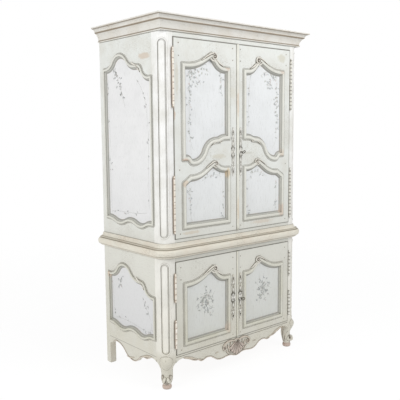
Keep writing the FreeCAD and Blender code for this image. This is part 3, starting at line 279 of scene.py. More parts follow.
def distressedPaint(name, ownLook):
    look = {**houseLook, **ownLook}
    made, add, where = blankMaterial(name)
    axes = add("SeparateXYZ", where)
    height = axes.outputs["Z"]
    # soft stains some 120 mm across
    cloud = add("TexNoise", Vector=where, Scale=8.0, Detail=4.0, Roughness=0.6)
    cloudy = stops(add("ValToRGB", cloud), [(0.42, grey(0)), (0.72, grey(look["stain"]))])
    # brush drags 1 to 2 mm wide, drawn out along the grain
    drag = add("Mapping", Vector=where, Scale=look["streak"])
    hair = add("TexNoise", Vector=drag, Scale=5.0, Detail=3.0, Roughness=0.7)
    hairy = stops(add("ValToRGB", hair), [(0.55, grey(0)), (0.8, grey(0.42))])
    # painted shade: the colour turns from the darker low to high up the case, as less light reaches the
    # lower part
    coats = [(height, 0.2, 1.35, 1.0, look["high"]), (cloudy, look["mottle"]), (hairy, look["glaze"])]
    if "scratch" in look:
        # fine level scratches, some 18 mm long and under 2 mm wide, in scattered places
        flat = add("Mapping", Vector=where, Scale=(9, 9, 90))
        nick = add("TexNoise", Vector=flat, Scale=6.0, Detail=5.0)
        cut = add("MapRange", Value=nick, From_Min=0.56, From_Max=0.63, To_Max=look["scratch"])
        zone = add("TexNoise", Vector=where, Scale=5.0, Detail=1.0)
        held = add("MapRange", Value=zone, From_Min=0.5, From_Max=0.6)
        nicked = add("Math", cut, held, operation="MULTIPLY")
        coats.append((nicked, look["scratchTone"]))
    # painted shade with glaze: grey on the inner slope of each moulding, beside its panel
    if "cove" in look:
        axis, low, high = look["cove"]
        outward = add("Math", axes.outputs[axis], operation="ABSOLUTE")
        coats.append((outward, low, high, 0.9, look["coveTone"]))
    for centre, reach, tone, share in look.get("patches", []):
        mask = add("Math", roundMask(add, where, centre, reach), share, operation="MULTIPLY")
        coats.append((mask, tone))
    if "padTop" in look:
        # painted shade darkens the legs under the knee, and their pads are rubbed to a pinkish undercoat
        coats += [(height, 0.25, 0.20, 0.6, look["kneeTone"]),
                  (height, look["padTop"] + 0.006, look["padTop"] - 0.004, 1.0, look["padTone"])]
    # worn arrises: where the rounded normal leaves the true one
    soft = add("Bevel", Radius=0.003, samples=6)
    true = add("NewGeometry").outputs["Normal"]
    turned = add("VectorMath", soft, true, operation="DOT_PRODUCT")
    arris = add("MapRange", Value=turned.outputs["Value"], From_Min=0.99, From_Max=0.86)
    rub = add("TexNoise", Vector=where, Scale=26.0, Detail=5.0)
    rubbed = stops(add("ValToRGB", rub), [(0.47, grey(0)), (0.62, grey(look["wear"]))])
    worn = add("Math", arris, rubbed, operation="MULTIPLY")
    coats.append((worn, look["ground"]))
    # painted shadow lines along the edges listed in the look
    for axis, distance, half, share in look.get("edges", []):
        outward = axes.outputs[axis[-1]]
        if axis[0] != "+":
            outward = add("Math", outward, operation="ABSOLUTE")
        apart = add("Math", outward, distance, operation="SUBTRACT")
        off = add("Math", apart, operation="ABSOLUTE")
        coats.append((off, half * 1.5, half * 0.7, share, look["line"]))
    # painted shade with glaze: the glaze tone gathers where little light reaches, darkening hollows, gaps
    # and the foot of each moulding
    hollow = add("AmbientOcclusion", Distance=look["glazeReach"], samples=12).outputs["AO"]
    # spatter: dots about 1 mm across, some 25 mm apart
    dots = add("TexVoronoi", Vector=where, Scale=42.0)
    tiny = add("Math", dots.outputs["Distance"], 0.035, operation="LESS_THAN")
    sparse = add("TexNoise", Vector=where, Scale=9.0)
    some = add("Math", sparse, 0.52, operation="GREATER_THAN")
    spat = add("Math", tiny, some, operation="MULTIPLY")
    faint = add("Math", spat, 0.6, operation="MULTIPLY")
    coats += [(hollow, 0.94, 0.62, look["glazeShare"], look["glaze"]), (faint, look["spatter"])]
    gloss = add("MapRange", Value=cloud, To_Min=0.5, To_Max=0.66)
    return finishMaterial(made, add, layCoats(add, hexColour(look["low"]), coats), hair, 0.18, 0.0006,
                          Roughness=gloss, IOR=1.48)


# Hand-painted sprays and tinted carving: each stroke brings its own colour in the attribute tint, thinned
# unevenly as a loaded brush leaves it.
tintedPaints = {
    "sprayPaint": {"uneven": 240.0, "below": "#d6d8d8", "glazeReach": 0.002, "glazeShare": 0.0},
    "carvingPaint": {"uneven": 90.0, "below": "#dcd8d0", "glazeReach": 0.006, "glazeShare": 0.95}}


def brushedTint(name, look):
    made, add, where = blankMaterial(name)
    tint = add("Attribute", attribute_name="tint")
    thin = add("TexNoise", Vector=where, Scale=look["uneven"], Detail=3.0)
    # painted shade with glaze: the glaze tone darkens the hollows round each stroke, as far as the reach
    # goes
    hollow = add("AmbientOcclusion", Distance=look["glazeReach"], samples=12).outputs["AO"]
    colour = layCoats(add, tint.outputs["Color"], [(thin, 0.4, 0.75, 0.4, look["below"]),
                                                   (hollow, 0.94, 0.58, look["glazeShare"], "#6a5f53")])
    return finishMaterial(made, add, colour, thin, 0.15, 0.0004, Roughness=0.58, IOR=1.48)


# Pale tumbled pewter: cast, then rubbed bright on the crests and left dark in the hollows. The plates and
# hinges keep most of a cream wash, so they shine little; the keys are bare.
pewters = {
    "lockPewter": {"bright": "#e6e5df", "dull": "#d8d6ce", "dark": "#a39f95", "reach": 0.002, "metal": 0.1},
    "reliefPewter": {"bright": "#e6e5df", "dull": "#d8d6ce", "dark": "#8d897e", "reach": 0.002, "metal": 0.1,
                     "tinted": True},
    # far: a greyer tone for the hinges on the right, turned from the light; groove: painted shade in their
    # grooves
    "hingePewter": {"bright": "#f0ece3", "dull": "#dfd6c8", "dark": "#8d7763", "reach": 0.003, "metal": 0.15,
                    "far": "#dcdad2", "groove": "#837f76"},
    "keyPewter": {"bright": "#8c8880", "dull": "#5f5b53", "dark": "#2d2925", "reach": 0.004, "metal": 1.0}}


def tumbledPewter(name, look):
    made, add, where = blankMaterial(name)
    tarnish = add("TexNoise", Vector=where, Scale=60.0, Detail=4.0)
    tone = stops(add("ValToRGB", tarnish),
                 [(0.35, hexColour(look["dull"])), (0.68, hexColour(look["bright"]))])
    if "tinted" in look:
        # chased lines bring their own depth of patina
        tone = add("Attribute", attribute_name="tint").outputs["Color"]
    coats = []
    if "far" in look:
        # the hinges on the right, turned from the light, get a greyer tone of their own, and painted shade
        # lies in the grooves between their rings, 13 mm apart
        axes = add("SeparateXYZ", where)
        right = add("Math", axes.outputs["X"], 0.0, operation="GREATER_THAN")
        lap = add("Math", axes.outputs["Z"], 0.013, operation="PINGPONG")
        groove = add("MapRange", Value=lap, From_Min=0.0055, From_Max=0.0035, To_Max=0.7)
        rightGrooveShade = add("Math", groove, right, operation="MULTIPLY")
        # those on the left get painted shade where the barrel meets the post, and in rings 36 mm apart
        left = add("Math", axes.outputs["X"], 0.0, operation="LESS_THAN")
        back = add("MapRange", Value=axes.outputs["Y"], From_Min=-0.3235, From_Max=-0.3220, To_Max=0.8)
        turn = add("Math", axes.outputs["Z"], 0.018, operation="PINGPONG")
        ring = add("MapRange", Value=turn, From_Min=0.0045, From_Max=0.0030, To_Max=0.55)
        either = add("Math", back, ring, operation="MAXIMUM")
        leftHingeShade = add("Math", either, left, operation="MULTIPLY")
        coats = [(right, look["far"]), (rightGrooveShade, look["groove"]), (leftHingeShade, look["dark"])]
    hollow = add("AmbientOcclusion", Distance=look["reach"], samples=8).outputs["AO"]
    patina = layCoats(add, tone, coats + [(hollow, 0.85, 0.3, 0.9, look["dark"])])
    grit = add("TexNoise", Vector=where, Scale=900.0, Detail=2.0)
    gloss = add("MapRange", Value=tarnish, To_Min=0.62, To_Max=0.4)
    return finishMaterial(made, add, patina, grit, 0.2, 0.0003,
                          Metallic=look["metal"], Roughness=gloss)


# Stained board for the inside: straight-sawn figure some 8 mm wide, under a thin satin lacquer. Shelves and
# decks run from side to side, the back boards up and down.
boardLooks = {
    "stainedBoard": {"pale": "#a48460", "dark": "#8b6a48", "pore": "#644a32", "grain": (0.7, 16, 16),
                     "pores": (25, 900, 900)},
    "stainedBackBoard": {"pale": "#a08161", "dark": "#886a4b", "pore": "#644a32", "grain": (16, 16, 0.7),
                         "pores": (900, 900, 25)}}


def stainedBoard(name, look):
    made, add, where = blankMaterial(name)
    along = add("Mapping", Vector=where, Scale=look["grain"])
    sweep = add("TexNoise", Vector=along, Scale=2.0, Detail=3.0, Distortion=0.25)
    rings = add("Math", sweep, 44.0, operation="MULTIPLY")
    band = add("Math", rings, operation="SINE")
    figure = add("MapRange", Value=band, From_Min=-1.0)
    tone = stops(add("ValToRGB", figure),
                 [(0.1, hexColour(look["dark"])), (0.7, hexColour(look["pale"]))])
    fine = add("Mapping", Vector=where, Scale=look["pores"])
    pore = add("TexNoise", Vector=fine, Scale=1.0)
    return finishMaterial(made, add, layCoats(add, tone, [(pore, 0.62, 0.75, 0.7, look["pore"])]), pore,
                          0.15, 0.0004, Roughness=0.5, IOR=1.5)


makers = ((distressedPaint, paints), (brushedTint, tintedPaints), (tumbledPewter, pewters),
          (stainedBoard, boardLooks))
materials = {name: maker(name, look) for maker, looks in makers for name, look in looks.items()}

# finishes of the CAD pieces, by slot: a word in the name and the material, the first that fits
finishes = {
    "pewter": (("_key", "keyPewter"), ("hinge", "hingePewter"), ("", "lockPewter")),
    "interior_wood": (("back", "stainedBackBoard"), ("", "stainedBoard")),
    "panel_paint": (("side", "sidePanelPaint"), ("", "frontPanelPaint")),
    "moulding_paint": (("apron_shell", "carvedPaint"), ("cornice", "corniceMouldingPaint"),
                       ("waist", "waistPaint"), ("side", "sideMouldingPaint"), ("", "doorMouldingPaint")),
    "cream_paint": (("rear_post", "rearPostPaint"), ("post", "postPaint"), ("rail", "railPaint"),
                    ("apron", "railPaint"), ("", "framePaint"))}
for subpart in frame["record"]["subparts"]:
    fitting = [finish for word, finish in finishes[subpart["material_slot"]] if word in subpart["node"]]
    for place in nodes[subpart["node"]].material_slots:
        place.material = materials[fitting[0]]
print("CAD pieces are painted")


# surfaces

def closedSkins(rings, poles):
    # Rings of points carried from one pole to the other: quads join each ring to the next, and a fan
    # closes each end. rings is (count, steps, around, 3), poles is (count, 2, 3).
    count, steps, around = rings.shape[:3]
    size = steps * around + 2
    points = np.concatenate([rings.reshape(count, -1, 3), poles], axis=1).reshape(-1, 3)
    ring, spot = np.meshgrid(np.arange(steps - 1), np.arange(around), indexing="ij")
    after = (spot + 1) % around
    quads = np.stack([ring * around + spot, ring * around + after, (ring + 1) * around + after,
                      (ring + 1) * around + spot], axis=-1).reshape(-1, 4)
    turn = np.arange(around)
    following = (turn + 1) % around
    start = np.full(around, steps * around)
    last = (steps - 1) * around
    fans = np.concatenate([np.stack([following, turn, start], axis=-1),
                           np.stack([last + turn, last + following, start + 1], axis=-1)])
    shift = np.arange(count)[:, None, None] * size
    return points, (shift + quads).reshape(-1, 4), (shift + fans).reshape(-1, 3), size


def addPiece(name, shapes, body, finish, replaced=None):
    # shapes: pairs of a result of closedSkins and the colours of its skins, or none
    points, faces, colours, base = [], [], [], 0
    for (spots, quads, fans, size), tints in shapes:
        points.append(spots)
        faces += (quads + base).tolist() + (fans + base).tolist()
        base += len(spots)
        if tints is not None:
            colours.append(np.repeat(tints, size, axis=0))
    mesh = bpy.data.meshes.new(name)
    mesh.from_pydata(np.concatenate(points).tolist(), [], faces)
    mesh.shade_smooth()
    if colours:
        tint = mesh.color_attributes.new("tint", "FLOAT_COLOR", "POINT")
        tint.data.foreach_set("color", np.concatenate(colours).ravel())
    shell = bmesh.new()
    shell.from_mesh(mesh)
    bmesh.ops.recalc_face_normals(shell, faces=shell.faces)
    shell.to_mesh(mesh)
    shell.free()
    piece = addObject(name, mesh)
    mesh.materials.append(materials[finish])
    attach(piece, body)
    if replaced:
        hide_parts(replaced)


def unit(vectors):
    return vectors / np.linalg.norm(vectors, axis=-1, keepdims=True)


def bladeSurface(path, normal, halfWidth, height, sunk, around=8, groove=0.0):
    # A raised stroke. Ring points are path + across * halfWidth * cos(a) + normal * lift, a full turn of a,
    # with lift = height * sin(a)^0.7 over the back and -sunk under the surface; a groove lowers the middle.
    normal = np.broadcast_to(unit(np.asarray(normal, float)), path.shape)
    across = unit(np.cross(normal, np.gradient(path, axis=1)))
    turn = 2 * np.pi * np.arange(around) / around
    side, back = np.cos(turn), np.round(np.sin(turn), 6)
    over = np.abs(back) ** 0.7 * (1 - groove * np.exp(-(side / 0.3) ** 2))
    lift = np.where(back < 0, -sunk, height[..., None] * over * (back > 0))
    rings = path[..., None, :] + across[..., None, :] * (halfWidth[..., None] * side)[..., None]
    rings = rings + normal[..., None, :] * lift[..., None]
    return closedSkins(rings, np.stack([path[:, 0], path[:, -1]], axis=1) - normal[:, :2] * sunk / 2)


def turnedSurface(centres, axis, across, places, radii, around=16):
    # A turned shape: rings of radius radii at the distances places along the axis, about each centre.
    axis, across = unit(np.asarray(axis, float)), unit(np.asarray(across, float))
    third = np.cross(axis, across)
    turn = 2 * np.pi * np.arange(around) / around
    circle = np.cos(turn)[:, None] * across + np.sin(turn)[:, None] * third
    rings = axis * places[:, None, None] + radii[:, None, None] * circle
    ends = axis * places[[0, -1], None]
    return closedSkins(centres[:, None, None, :] + rings, centres[:, None, :] + ends)


def paintTints(codes):
    return np.array([hexColour(code) for code in codes])


# stations along a stroke, unless a call says otherwise
strokeSteps = 24


def bent(controls, steps=strokeSteps):
    # A Bernstein curve through the ends of a row of control points
    controls = np.asarray(controls, float)
    share = np.linspace(0, 1, steps)[:, None]
    order = len(controls) - 1
    weights = [math.comb(order, k) * share ** k * (1 - share) ** (order - k) for k in range(order + 1)]
    return sum(weight * point for weight, point in zip(weights, controls))


def spiral(centre, radius, eye, start, sweep, steps=strokeSteps):
    # A logarithmic spiral from one radius to the other, angles in degrees
    share = np.linspace(0, 1, steps)
    angle = np.radians(start + sweep * share)
    reach = radius * (eye / radius) ** share
    return np.asarray(centre, float) + np.stack([reach * np.cos(angle), reach * np.sin(angle)], axis=-1)


def swelling(first, most, last, peak=0.4, steps=strokeSteps):
    # Widths from first through most, at the share peak of the way, to last
    return np.interp(np.linspace(0, 1, steps), [0, peak, 1], [first, most, last])


def leafWidths(most, steps=strokeSteps):
    # Full near the root and pointed at the tip: 0.12 and 0.88 * sin(pi * share^0.7)^0.9 of the most
    share = np.linspace(0, 1, steps)
    return most * (0.12 + 0.88 * np.sin(np.pi * share ** 0.7) ** 0.9)


def drawn(rows, steps=strokeSteps):
    # Strokes from rows of path, half widths, heights and perhaps a colour. A path is a list of control
    # points or the values of a spiral; widths and heights in brackets swell, a width alone is a leaf's.
    strokes = []
    for path, widths, heights, *tone in rows:
        plan = bent(path, steps) if isinstance(path, list) else spiral(*path, steps)
        wide = swelling(*widths, steps=steps) if isinstance(widths, tuple) else leafWidths(widths, steps)
        high = swelling(*heights, steps=steps) if isinstance(heights, tuple) else heights
        strokes.append((plan, wide, high, *tone))
    return strokes


# where the faces lie in m: y of those in front, distance from the middle of those at the sides
faces = {"door": -0.314, "apron": -0.310, "panel": -0.305, "side": 0.612, "sidePanel": 0.603}


def onFront(y, mirror=1):
    # A face at y: what lays a plan on it, given as distance from the middle and height in mm, and its normal
    def place(plan):
        plan = np.asarray(plan, float) / 1000
        return np.stack([mirror * plan[..., 0], np.full(plan.shape[:-1], y), plan[..., 1]], axis=-1)
    return place, (0, -1, 0)


def onSide(x):
    # A face at x: what lays a plan on it, given as distance behind the middle and height in mm, and its
    # normal
    def place(plan):
        plan = np.asarray(plan, float) / 1000
        return np.stack([np.full(plan.shape[:-1], x), plan[..., 0], plan[..., 1]], axis=-1)
    return place, (math.copysign(1, x), 0, 0)


def carvedStrokes(strokes, face, sunk, groove=0.0, around=10, tint=None):
    # Blades along plan paths, with the half widths and heights of each in mm, all with the same number of
    # stations. A fourth value is a stroke's own colour, in place of tint.
    place, normal = face
    path = np.stack([place(stroke[0]) for stroke in strokes])
    steps = path.shape[1]
    widths = np.stack([np.broadcast_to(stroke[1], steps) for stroke in strokes]) / 1000
    heights = np.stack([np.broadcast_to(stroke[2], steps) for stroke in strokes]) / 1000
    codes = [(*stroke, tint)[3] for stroke in strokes]
    skins = bladeSurface(path, normal, widths, heights, sunk, around, groove)
    return skins, None if codes[0] is None else paintTints(codes)


def domes(plan, face, radius, height, tint, sunk=0.001):
    # Low round heads on a face: rings shrink as cos(b) while they rise as sin(b).
    place, normal = face
    lean = np.radians(np.array([0.0, 0.0, 30.0, 60.0, 82.0]))
    places = height * np.sin(lean)
    places[0] = -sunk
    skins = turnedSurface(place(plan), normal, (0, 0, 1), places, radius * np.cos(lean), 12)
    return skins, paintTints([tint] * len(plan))


sides = {"left": -1, "right": 1}
levels = ("upper", "lower")
doors = [(level, name, side) for level in levels for name, side in sides.items()]


def addToDoor(level, name, kind, shapes, finish):
    addPiece(f"{level}_{name}_{kind}", shapes, f"{level}_{name}_door", finish)


# hinge beads: cast rings along every barrel, 13 mm apart
hinges = {"axis": (0.532, -0.3185), "pitch": 0.013, "finial": 0.028, "start": 0.008,
          "upper": {"centres": (1.169, 1.938), "length": 0.372},
          "lower": {"centres": (0.352, 0.650), "length": 0.200},
          "places": (-3.4, -2.2, 0.0, 2.2, 3.4), "radii": (7.6, 8.15, 8.45, 8.15, 7.6)}


def hingeBeads(values, level, side, way):
    # one row of bead heads for each hinge of a door, above (1) or below (-1) its middle
    own = values[level]
    reach = np.arange(values["start"], own["length"] / 2 - values["finial"], values["pitch"])
    heights = np.concatenate([middle + way * reach for middle in own["centres"]])
    x, y = values["axis"]
    centres = np.stack([np.full(len(heights), side * x), np.full(len(heights), y), heights], axis=-1)
    return turnedSurface(centres, (0, 0, 1), (1, 0, 0), np.array(values["places"]) / 1000,
                         np.array(values["radii"]) / 1000, 14), None


addPiece("caseHingeBeads", [hingeBeads(hinges, level, side, -1) for level, name, side in doors], "case",
         "hingePewter")
for level, name, side in doors:
    addToDoor(level, name, "hingeBeads", [hingeBeads(hinges, level, side, 1)], "hingePewter")
print("hinges are beaded")


# pegs that pin the door joints, a little proud of the stiles
pegs = {"across": (484, 35), "upper": (2145, 2070, 1382, 985), "lower": (773, 695, 240),
        "radius": 0.0042, "height": 0.0009, "tint": "#8a8474"}
for level, name, side in doors:
    plan = [(across, height) for across in pegs["across"] for height in pegs[level]]
    heads = domes(plan, onFront(faces["door"], side), pegs["radius"], pegs["height"], pegs["tint"])
    addToDoor(level, name, "pegs", [heads], "carvingPaint")
print("pegs are in")


# round beads on the right doors that close the meeting gap: middle, half width, height, foot and head in mm
meetingBeads = {"back": -0.3141, "sunk": 0.00005, "steps": 40, "upper": (9.15, 10.35, 8.4, 957, 2176),
                "lower": (5.15, 6.35, 5.4, 215, 810)}
for level in levels:
    middle, half, rise, foot, head = meetingBeads[level]
    path = bent([(middle, foot), (middle, head)], meetingBeads["steps"])
    bead = carvedStrokes([(path, half, rise)], onFront(meetingBeads["back"]), meetingBeads["sunk"],
                         around=14)
    addPiece(f"{level}_meetingBead", [bead], f"{level}_right_door", "beadPaint")
print("meeting beads are on")


# lock plate relief: scrolls and leaves mirrored about the middle of each plate
lockRelief = {"face": -0.316, "sunk": 0.0021, "keyRoom": 6, "steps": 16,
              "upper": {"left": (33, 1480), "right": (36, 1480), "keyhole": (36, 1478), "breadth": 1.0,
                        "line": "#75736c", "faint": "#b4b2aa", "bright": "#eae9e3"},
              "lower": {"left": (33, 498), "right": (33, 498), "keyhole": (33, 482), "breadth": 1.35,
                        "line": "#58544a", "faint": "#7d796c", "bright": "#d6d2c4"}}


# drawn for the upper right quarter of a plate: dark lines, and bright leaves between them
plateRows = [
    ([(9, 8), (19, 22), (2, 34), (10, 40)], 1.8, 1.2, "line"),
    (((10, 25), 6.5, 2.4, -80, 300), (0.9, 1.2, 0.9), 1.2, "line"),
    ([(1, 3), (6, 5), (7, 11), (1, 18)], 1.2, 1.2, "line"),
    ([(0, 22), (8, 30), (1, 40), (5, 47)], 1.2, 1.2, "faint"),
    ([(4, 44), (17, 54), (-4, 66), (9, 78)], 1.5, 1.2, "faint"),
    ([(13, 44), (2, 56), (15, 66), (3, 78)], 2.4, 1.2, "bright"),
    ([(1, 76), (12, 82), (14, 94), (5, 102)], 3.0, 1.2, "bright"),
    (((8, 90), 5.5, 2.0, -100, 360), (1.0, 1.4, 1.0), 1.2, "faint"),
    ([(2, 112), (15, 120), (-8, 132), (6, 146)], 1.9, 1.2, "line"),
    ([(10, 108), (12, 120), (4, 128), (11, 136)], 2.0, 1.2, "bright"),
    ([(1, 140), (8, 146), (3, 154), (0, 160)], 2.6, 1.2, "bright")]


def plateStrokes(own, middle):
    return [(plan * np.array([over, up]) + middle, width * own["breadth"], rise, own[tone])
            for up in (1, -1) for over in (1, -1)
            for plan, width, rise, tone in drawn(plateRows, lockRelief["steps"])]


for level, name, side in doors:
    own = lockRelief[level]
    strokes = plateStrokes(own, np.array(own[name]))
    if side > 0:
        # no stroke runs under the key
        strokes = [stroke for stroke in strokes
                   if np.hypot(*(stroke[0] - own["keyhole"]).T).min() > lockRelief["keyRoom"]]
    relief = carvedStrokes(strokes, onFront(lockRelief["face"], side), lockRelief["sunk"], around=6)
    addToDoor(level, name, "lockRelief", [relief], "reliefPewter")
print("lock plates are chased")


# a flat fillet and a dark quirk that follow the outer edge of each panel moulding, the quirk a painted
# shadow line where the moulding meets the frame; each is its offset, half width and height in mm, and the
# other rows are the middles of the panels
fillets = {"stations": 480, "proud": 0.0005, "sunk": 0.0004, "fillet": (3.0, 3.2, 1.6),
           "quirk": (7.0, 1.1, 0.3), "tint": "#77725f",
           "upper": ((255, 1800), (255, 1180)), "lower": ((255, 500),),
           "upperSide": ((60, 1550),), "lowerSide": ((60, 480),)}
depsgraph = bpy.context.evaluated_depsgraph_get()


def mouldingEdge(node, centre, place, column, way):
    # A loop where rays from the middle of a panel leave the far side of its moulding. It is given as a plan,
    # across which a point's column counts one way.
    tree = BVHTree.FromObject(nodes[node], depsgraph)
    turn = np.linspace(0, 2 * np.pi, fillets["stations"], endpoint=False)
    heading = np.stack([np.cos(turn), np.sin(turn)], axis=-1)
    start = place([centre])[0]
    rays = place(np.array(centre) + heading * 100) - start
    edge = []
    for ray in rays:
        near = tree.ray_cast(Vector(start), Vector(ray))[0]
        far = tree.ray_cast(near + Vector(ray).normalized() * 0.001, Vector(ray))[0]
        edge.append(tuple(far if far else near))
    return np.array(edge)[:, [column, 2]] * np.array([way, 1]) * 1000


def followed(edge, offset, halfWidth, rise):
    # A closed stroke beside the loop: each point moves outward, square to the line between its two
    # neighbours, by the offset in mm.
    heading = np.roll(edge, -1, axis=0) - np.roll(edge, 1, axis=0)
    outward = unit(np.stack([heading[:, 1], -heading[:, 0]], axis=-1))
    path = edge + outward * offset
    return np.concatenate([path, path[:1]]), halfWidth, rise


def addFillets(name, node, centres, laid, proud, column, way, body):
    edges = [mouldingEdge(node, centre, proud[0], column, way) for centre in centres]
    # the quirk is a painted shadow line in a dark tint
    for kind, finish, tint in (("fillet", "framePaint", None), ("quirk", "carvingPaint", fillets["tint"])):
        strokes = [followed(edge, *fillets[kind]) for edge in edges]
        skin = carvedStrokes(strokes, laid, fillets["sunk"], around=8, tint=tint)
        addPiece(f"{name}_{kind}s", [skin], body, finish)


for level, name, side in doors:
    addFillets(f"{level}_{name}", f"{level}_{name}_door_mouldings", fillets[level],
               onFront(faces["door"], side), onFront(faces["door"] - fillets["proud"], side), 0, side,
               f"{level}_{name}_door")
    addFillets(f"{level}_{name}Side", f"{level}_side_mouldings", fillets[level + "Side"],
               onSide(side * faces["side"]), onSide(side * (faces["side"] + fillets["proud"])), 1, 1, "case")
print("mouldings have their fillets")


# crests: a leaf that climbs the moulding, curls over into a volute and trails down the other side. Those of
# a door are given by peak and height in mm and by size; knob: radius, height and depth in m
crests = {"face": -0.3215, "sunk": 0.004, "groove": 0.25, "leaf": "#e0dcd2", "dark": "#7f7566",
          "eye": (-18, -23), "knob": (0.0068, 0.0078, 0.003),
          "upper": ((218, 2106, 1.0), (202, 1428, 0.8)), "lower": ((218, 746, 0.9),)}
# drawn about the top of the leaf at full size, for the right-hand side
crestRows = [
    ([(88, -52), (52, -34), (18, -6), (-16, -2)], (1.2, 5.5, 4.0, 0.7), 5.5, "leaf"),
    ((crests["eye"], 21, 13, 84, 390), (4.2, 3.6, 2.4), 7.0, "leaf"),
    ((crests["eye"], 9.5, 9.5, 0, 360), (1.7, 1.7, 1.7), 6.0, "dark"),
    ([(-32, -42), (-48, -52), (-66, -69), (-96, -79)], 5.0, 4.5, "leaf"),
    ([(20, -30), (4, -50), (-18, -58), (-36, -48)], 4.5, 4.0, "leaf"),
    ([(60, -40), (34, -26), (10, -12), (-6, -12)], 1.2, 6.6, "dark")]
# the little curl under the step at the foot of the tall panel
curlRows = [
    (((146, 1551), 8, 2.8, 20, -380), (2.4, 2.8, 1.6), 4.5, crests["leaf"]),
    ([(150, 1562), (176, 1562), (200, 1548), (226, 1526)], 4.0, 4.0, crests["leaf"])]
for level, name, side in doors:
    strokes, eyes = [], []
    for peak, height, size in crests[level]:
        origin = np.array([peak, height])
        strokes += [(plan * size + origin, width * size, rise * size, crests[tone])
                    for plan, width, rise, tone in drawn(crestRows)]
        eyes.append(origin + np.array(crests["eye"]) * size)
    if level == "upper":
        strokes += drawn(curlRows)
    laid = onFront(crests["face"], side)
    radius, height, sunk = crests["knob"]
    knobs = domes(eyes, laid, radius, height, crests["leaf"], sunk)
    leaf = carvedStrokes(strokes, laid, crests["sunk"], crests["groove"])
    addToDoor(level, name, "crests", [leaf, knobs], "carvingPaint")

# the same leaf, smaller, where the crown of a side panel steps down
sideCrests = {"face": 0.6205, "sunk": 0.003, "groove": 0.2, "heights": (2029, 662), "station": -66}
sideRows = [
    (((0, -11), 9, 2.8, 90, 400), (2.4, 2.8, 1.8), 4.5),
    ([(56, 22), (34, 2), (18, -2), (0, -2)], 5.0, 4.0),
    ([(-6, -18), (-16, -26), (-26, -38), (-38, -50)], 4.0, 3.5)]
for name, side in sides.items():
    strokes = [(plan + np.array([sideCrests["station"], height]), width, rise)
               for height in sideCrests["heights"] for plan, width, rise in drawn(sideRows)]
    skin = carvedStrokes(strokes, onSide(side * sideCrests["face"]), sideCrests["sunk"],
                         sideCrests["groove"], tint=crests["leaf"])
    addPiece(f"side_{name}_crests", [skin], "case", "carvingPaint")
print("mouldings have their crests")


# apron carving: a ribbed fan between two leafy scrolls, leaves along the sawn edge and a rolled lip.
# cuts: how deep a stroke sits in the board in m, how far its middle is grooved, and points round it
# lips: lift above the edge, half width and height in mm, and colour; stations: first, last and how many
# tip: the share of a rib where its round end starts, the end's length and the least width
apron = {"hinge": (0, 190), "root": 12, "reach": 98, "fall": 5, "spread": 17, "ribs": 7, "narrowed": 0.87,
         "breadth": 0.152, "tip": (0.82, 0.185, 0.02), "rise": (6, 9), "ribCut": (0.004, 0.5, 12),
         "crownCut": (0.004, 0.3), "scrollCut": (0.003, 0.3), "leafCut": (0.002, 0.35), "lipCut": (0.001,),
         "knob": ((108, 160), 0.0055, 0.011, 0.003), "inside": 0.004,
         "shell": "#cbbcb1", "scroll": "#bfb4a5", "leaf": "#bdb3a2", "lip": "#c9beb1", "line": "#857b6c",
         "lips": ((3.2, 3.2, 3.0, "lip"), (8.5, 1.0, 0.5, "line")), "taper": 6,
         "frontStations": (-474, 474, 190), "sideStations": (-190, 290, 110)}
crownRows = [([(-32, 180), (-22, 206), (22, 206), (32, 180)], (2.5, 5, 2.5, 0.5), (9, 15, 9, 0.5))]
# drawn for the right-hand side
scrollRows = [
    ([(16, 186), (52, 208), (124, 204), (144, 168)], (4, 6.5, 5), (12, 13, 11)),
    (((124, 160), 20, 6, 20, -400), (4.6, 4.6, 2.4), (11, 10, 7)),
    ([(98, 176), (82, 154), (84, 128), (58, 112)], 6.5, (8, 10, 5)),
    ([(112, 138), (100, 126), (86, 112), (66, 104)], 5.0, (7, 8, 4)),
    ([(62, 186), (70, 172), (66, 158), (54, 150)], 4.0, (8, 9, 6))]
leafRows = [
    ([(466, 180), (432, 180), (402, 160), (372, 152)], 8.0, (3, 6, 3)),
    ([(436, 178), (404, 172), (380, 152), (344, 143)], 6.5, (3, 5, 2)),
    (((414, 168), 9, 2.8, 60, -400), (2.5, 3.0, 1.8), (6, 6, 4)),
    ([(352, 147), (338, 138), (324, 133), (306, 136)], 4.5, (3, 4, 2)),
    ([(196, 140), (186, 148), (172, 149), (158, 144)], 3.4, (2, 3, 1))]
sideLeafRows = [
    ([(-168, 184), (-130, 182), (-96, 164), (-58, 160)], 8.0, (3, 6, 3)),
    ([(-138, 182), (-104, 178), (-80, 160), (-40, 150)], 6.0, (3, 5, 2)),
    ([(30, 128), (60, 112), (90, 108), (122, 112)], 5.0, (2, 4, 2))]


def fanRibs(values):
    # Straight ribs that open from the hinge, shorter to each side. A rib is as wide as its distance times
    # the breadth, closed at the tip by a quarter circle, and its height grows as share^0.7.
    strokes = []
    share = np.linspace(0, 1, strokeSteps)
    root, (low, rise) = values["root"], values["rise"]
    start, length, least = values["tip"]
    tip = np.sqrt(np.clip(1 - (np.clip(share - start, 0, 1) / length) ** 2, least, 1))
    for rib in range(values["ribs"]):
        lobe = rib - values["ribs"] // 2
        lean = math.radians(lobe * values["spread"])
        reach = root + (values["reach"] - values["fall"] * abs(lobe) - root) * share
        plan = np.array(values["hinge"]) + reach[:, None] * np.array([math.sin(lean), -math.cos(lean)])
        strokes.append((plan, values["breadth"] * reach * tip,
                        low + rise * share ** 0.7 * np.where(share > 0.9, 0.85, 1)))
    return strokes


def sawnEdge(node, stations, point):
    # heights of a board's lower edge, found by rays from below
    tree = BVHTree.FromObject(nodes[node], depsgraph)
    hits = [tree.ray_cast(Vector(point(station)), Vector((0, 0, 1)))[0] for station in stations]
    return np.array([hit.z * 1000 if hit else np.nan for hit in hits])


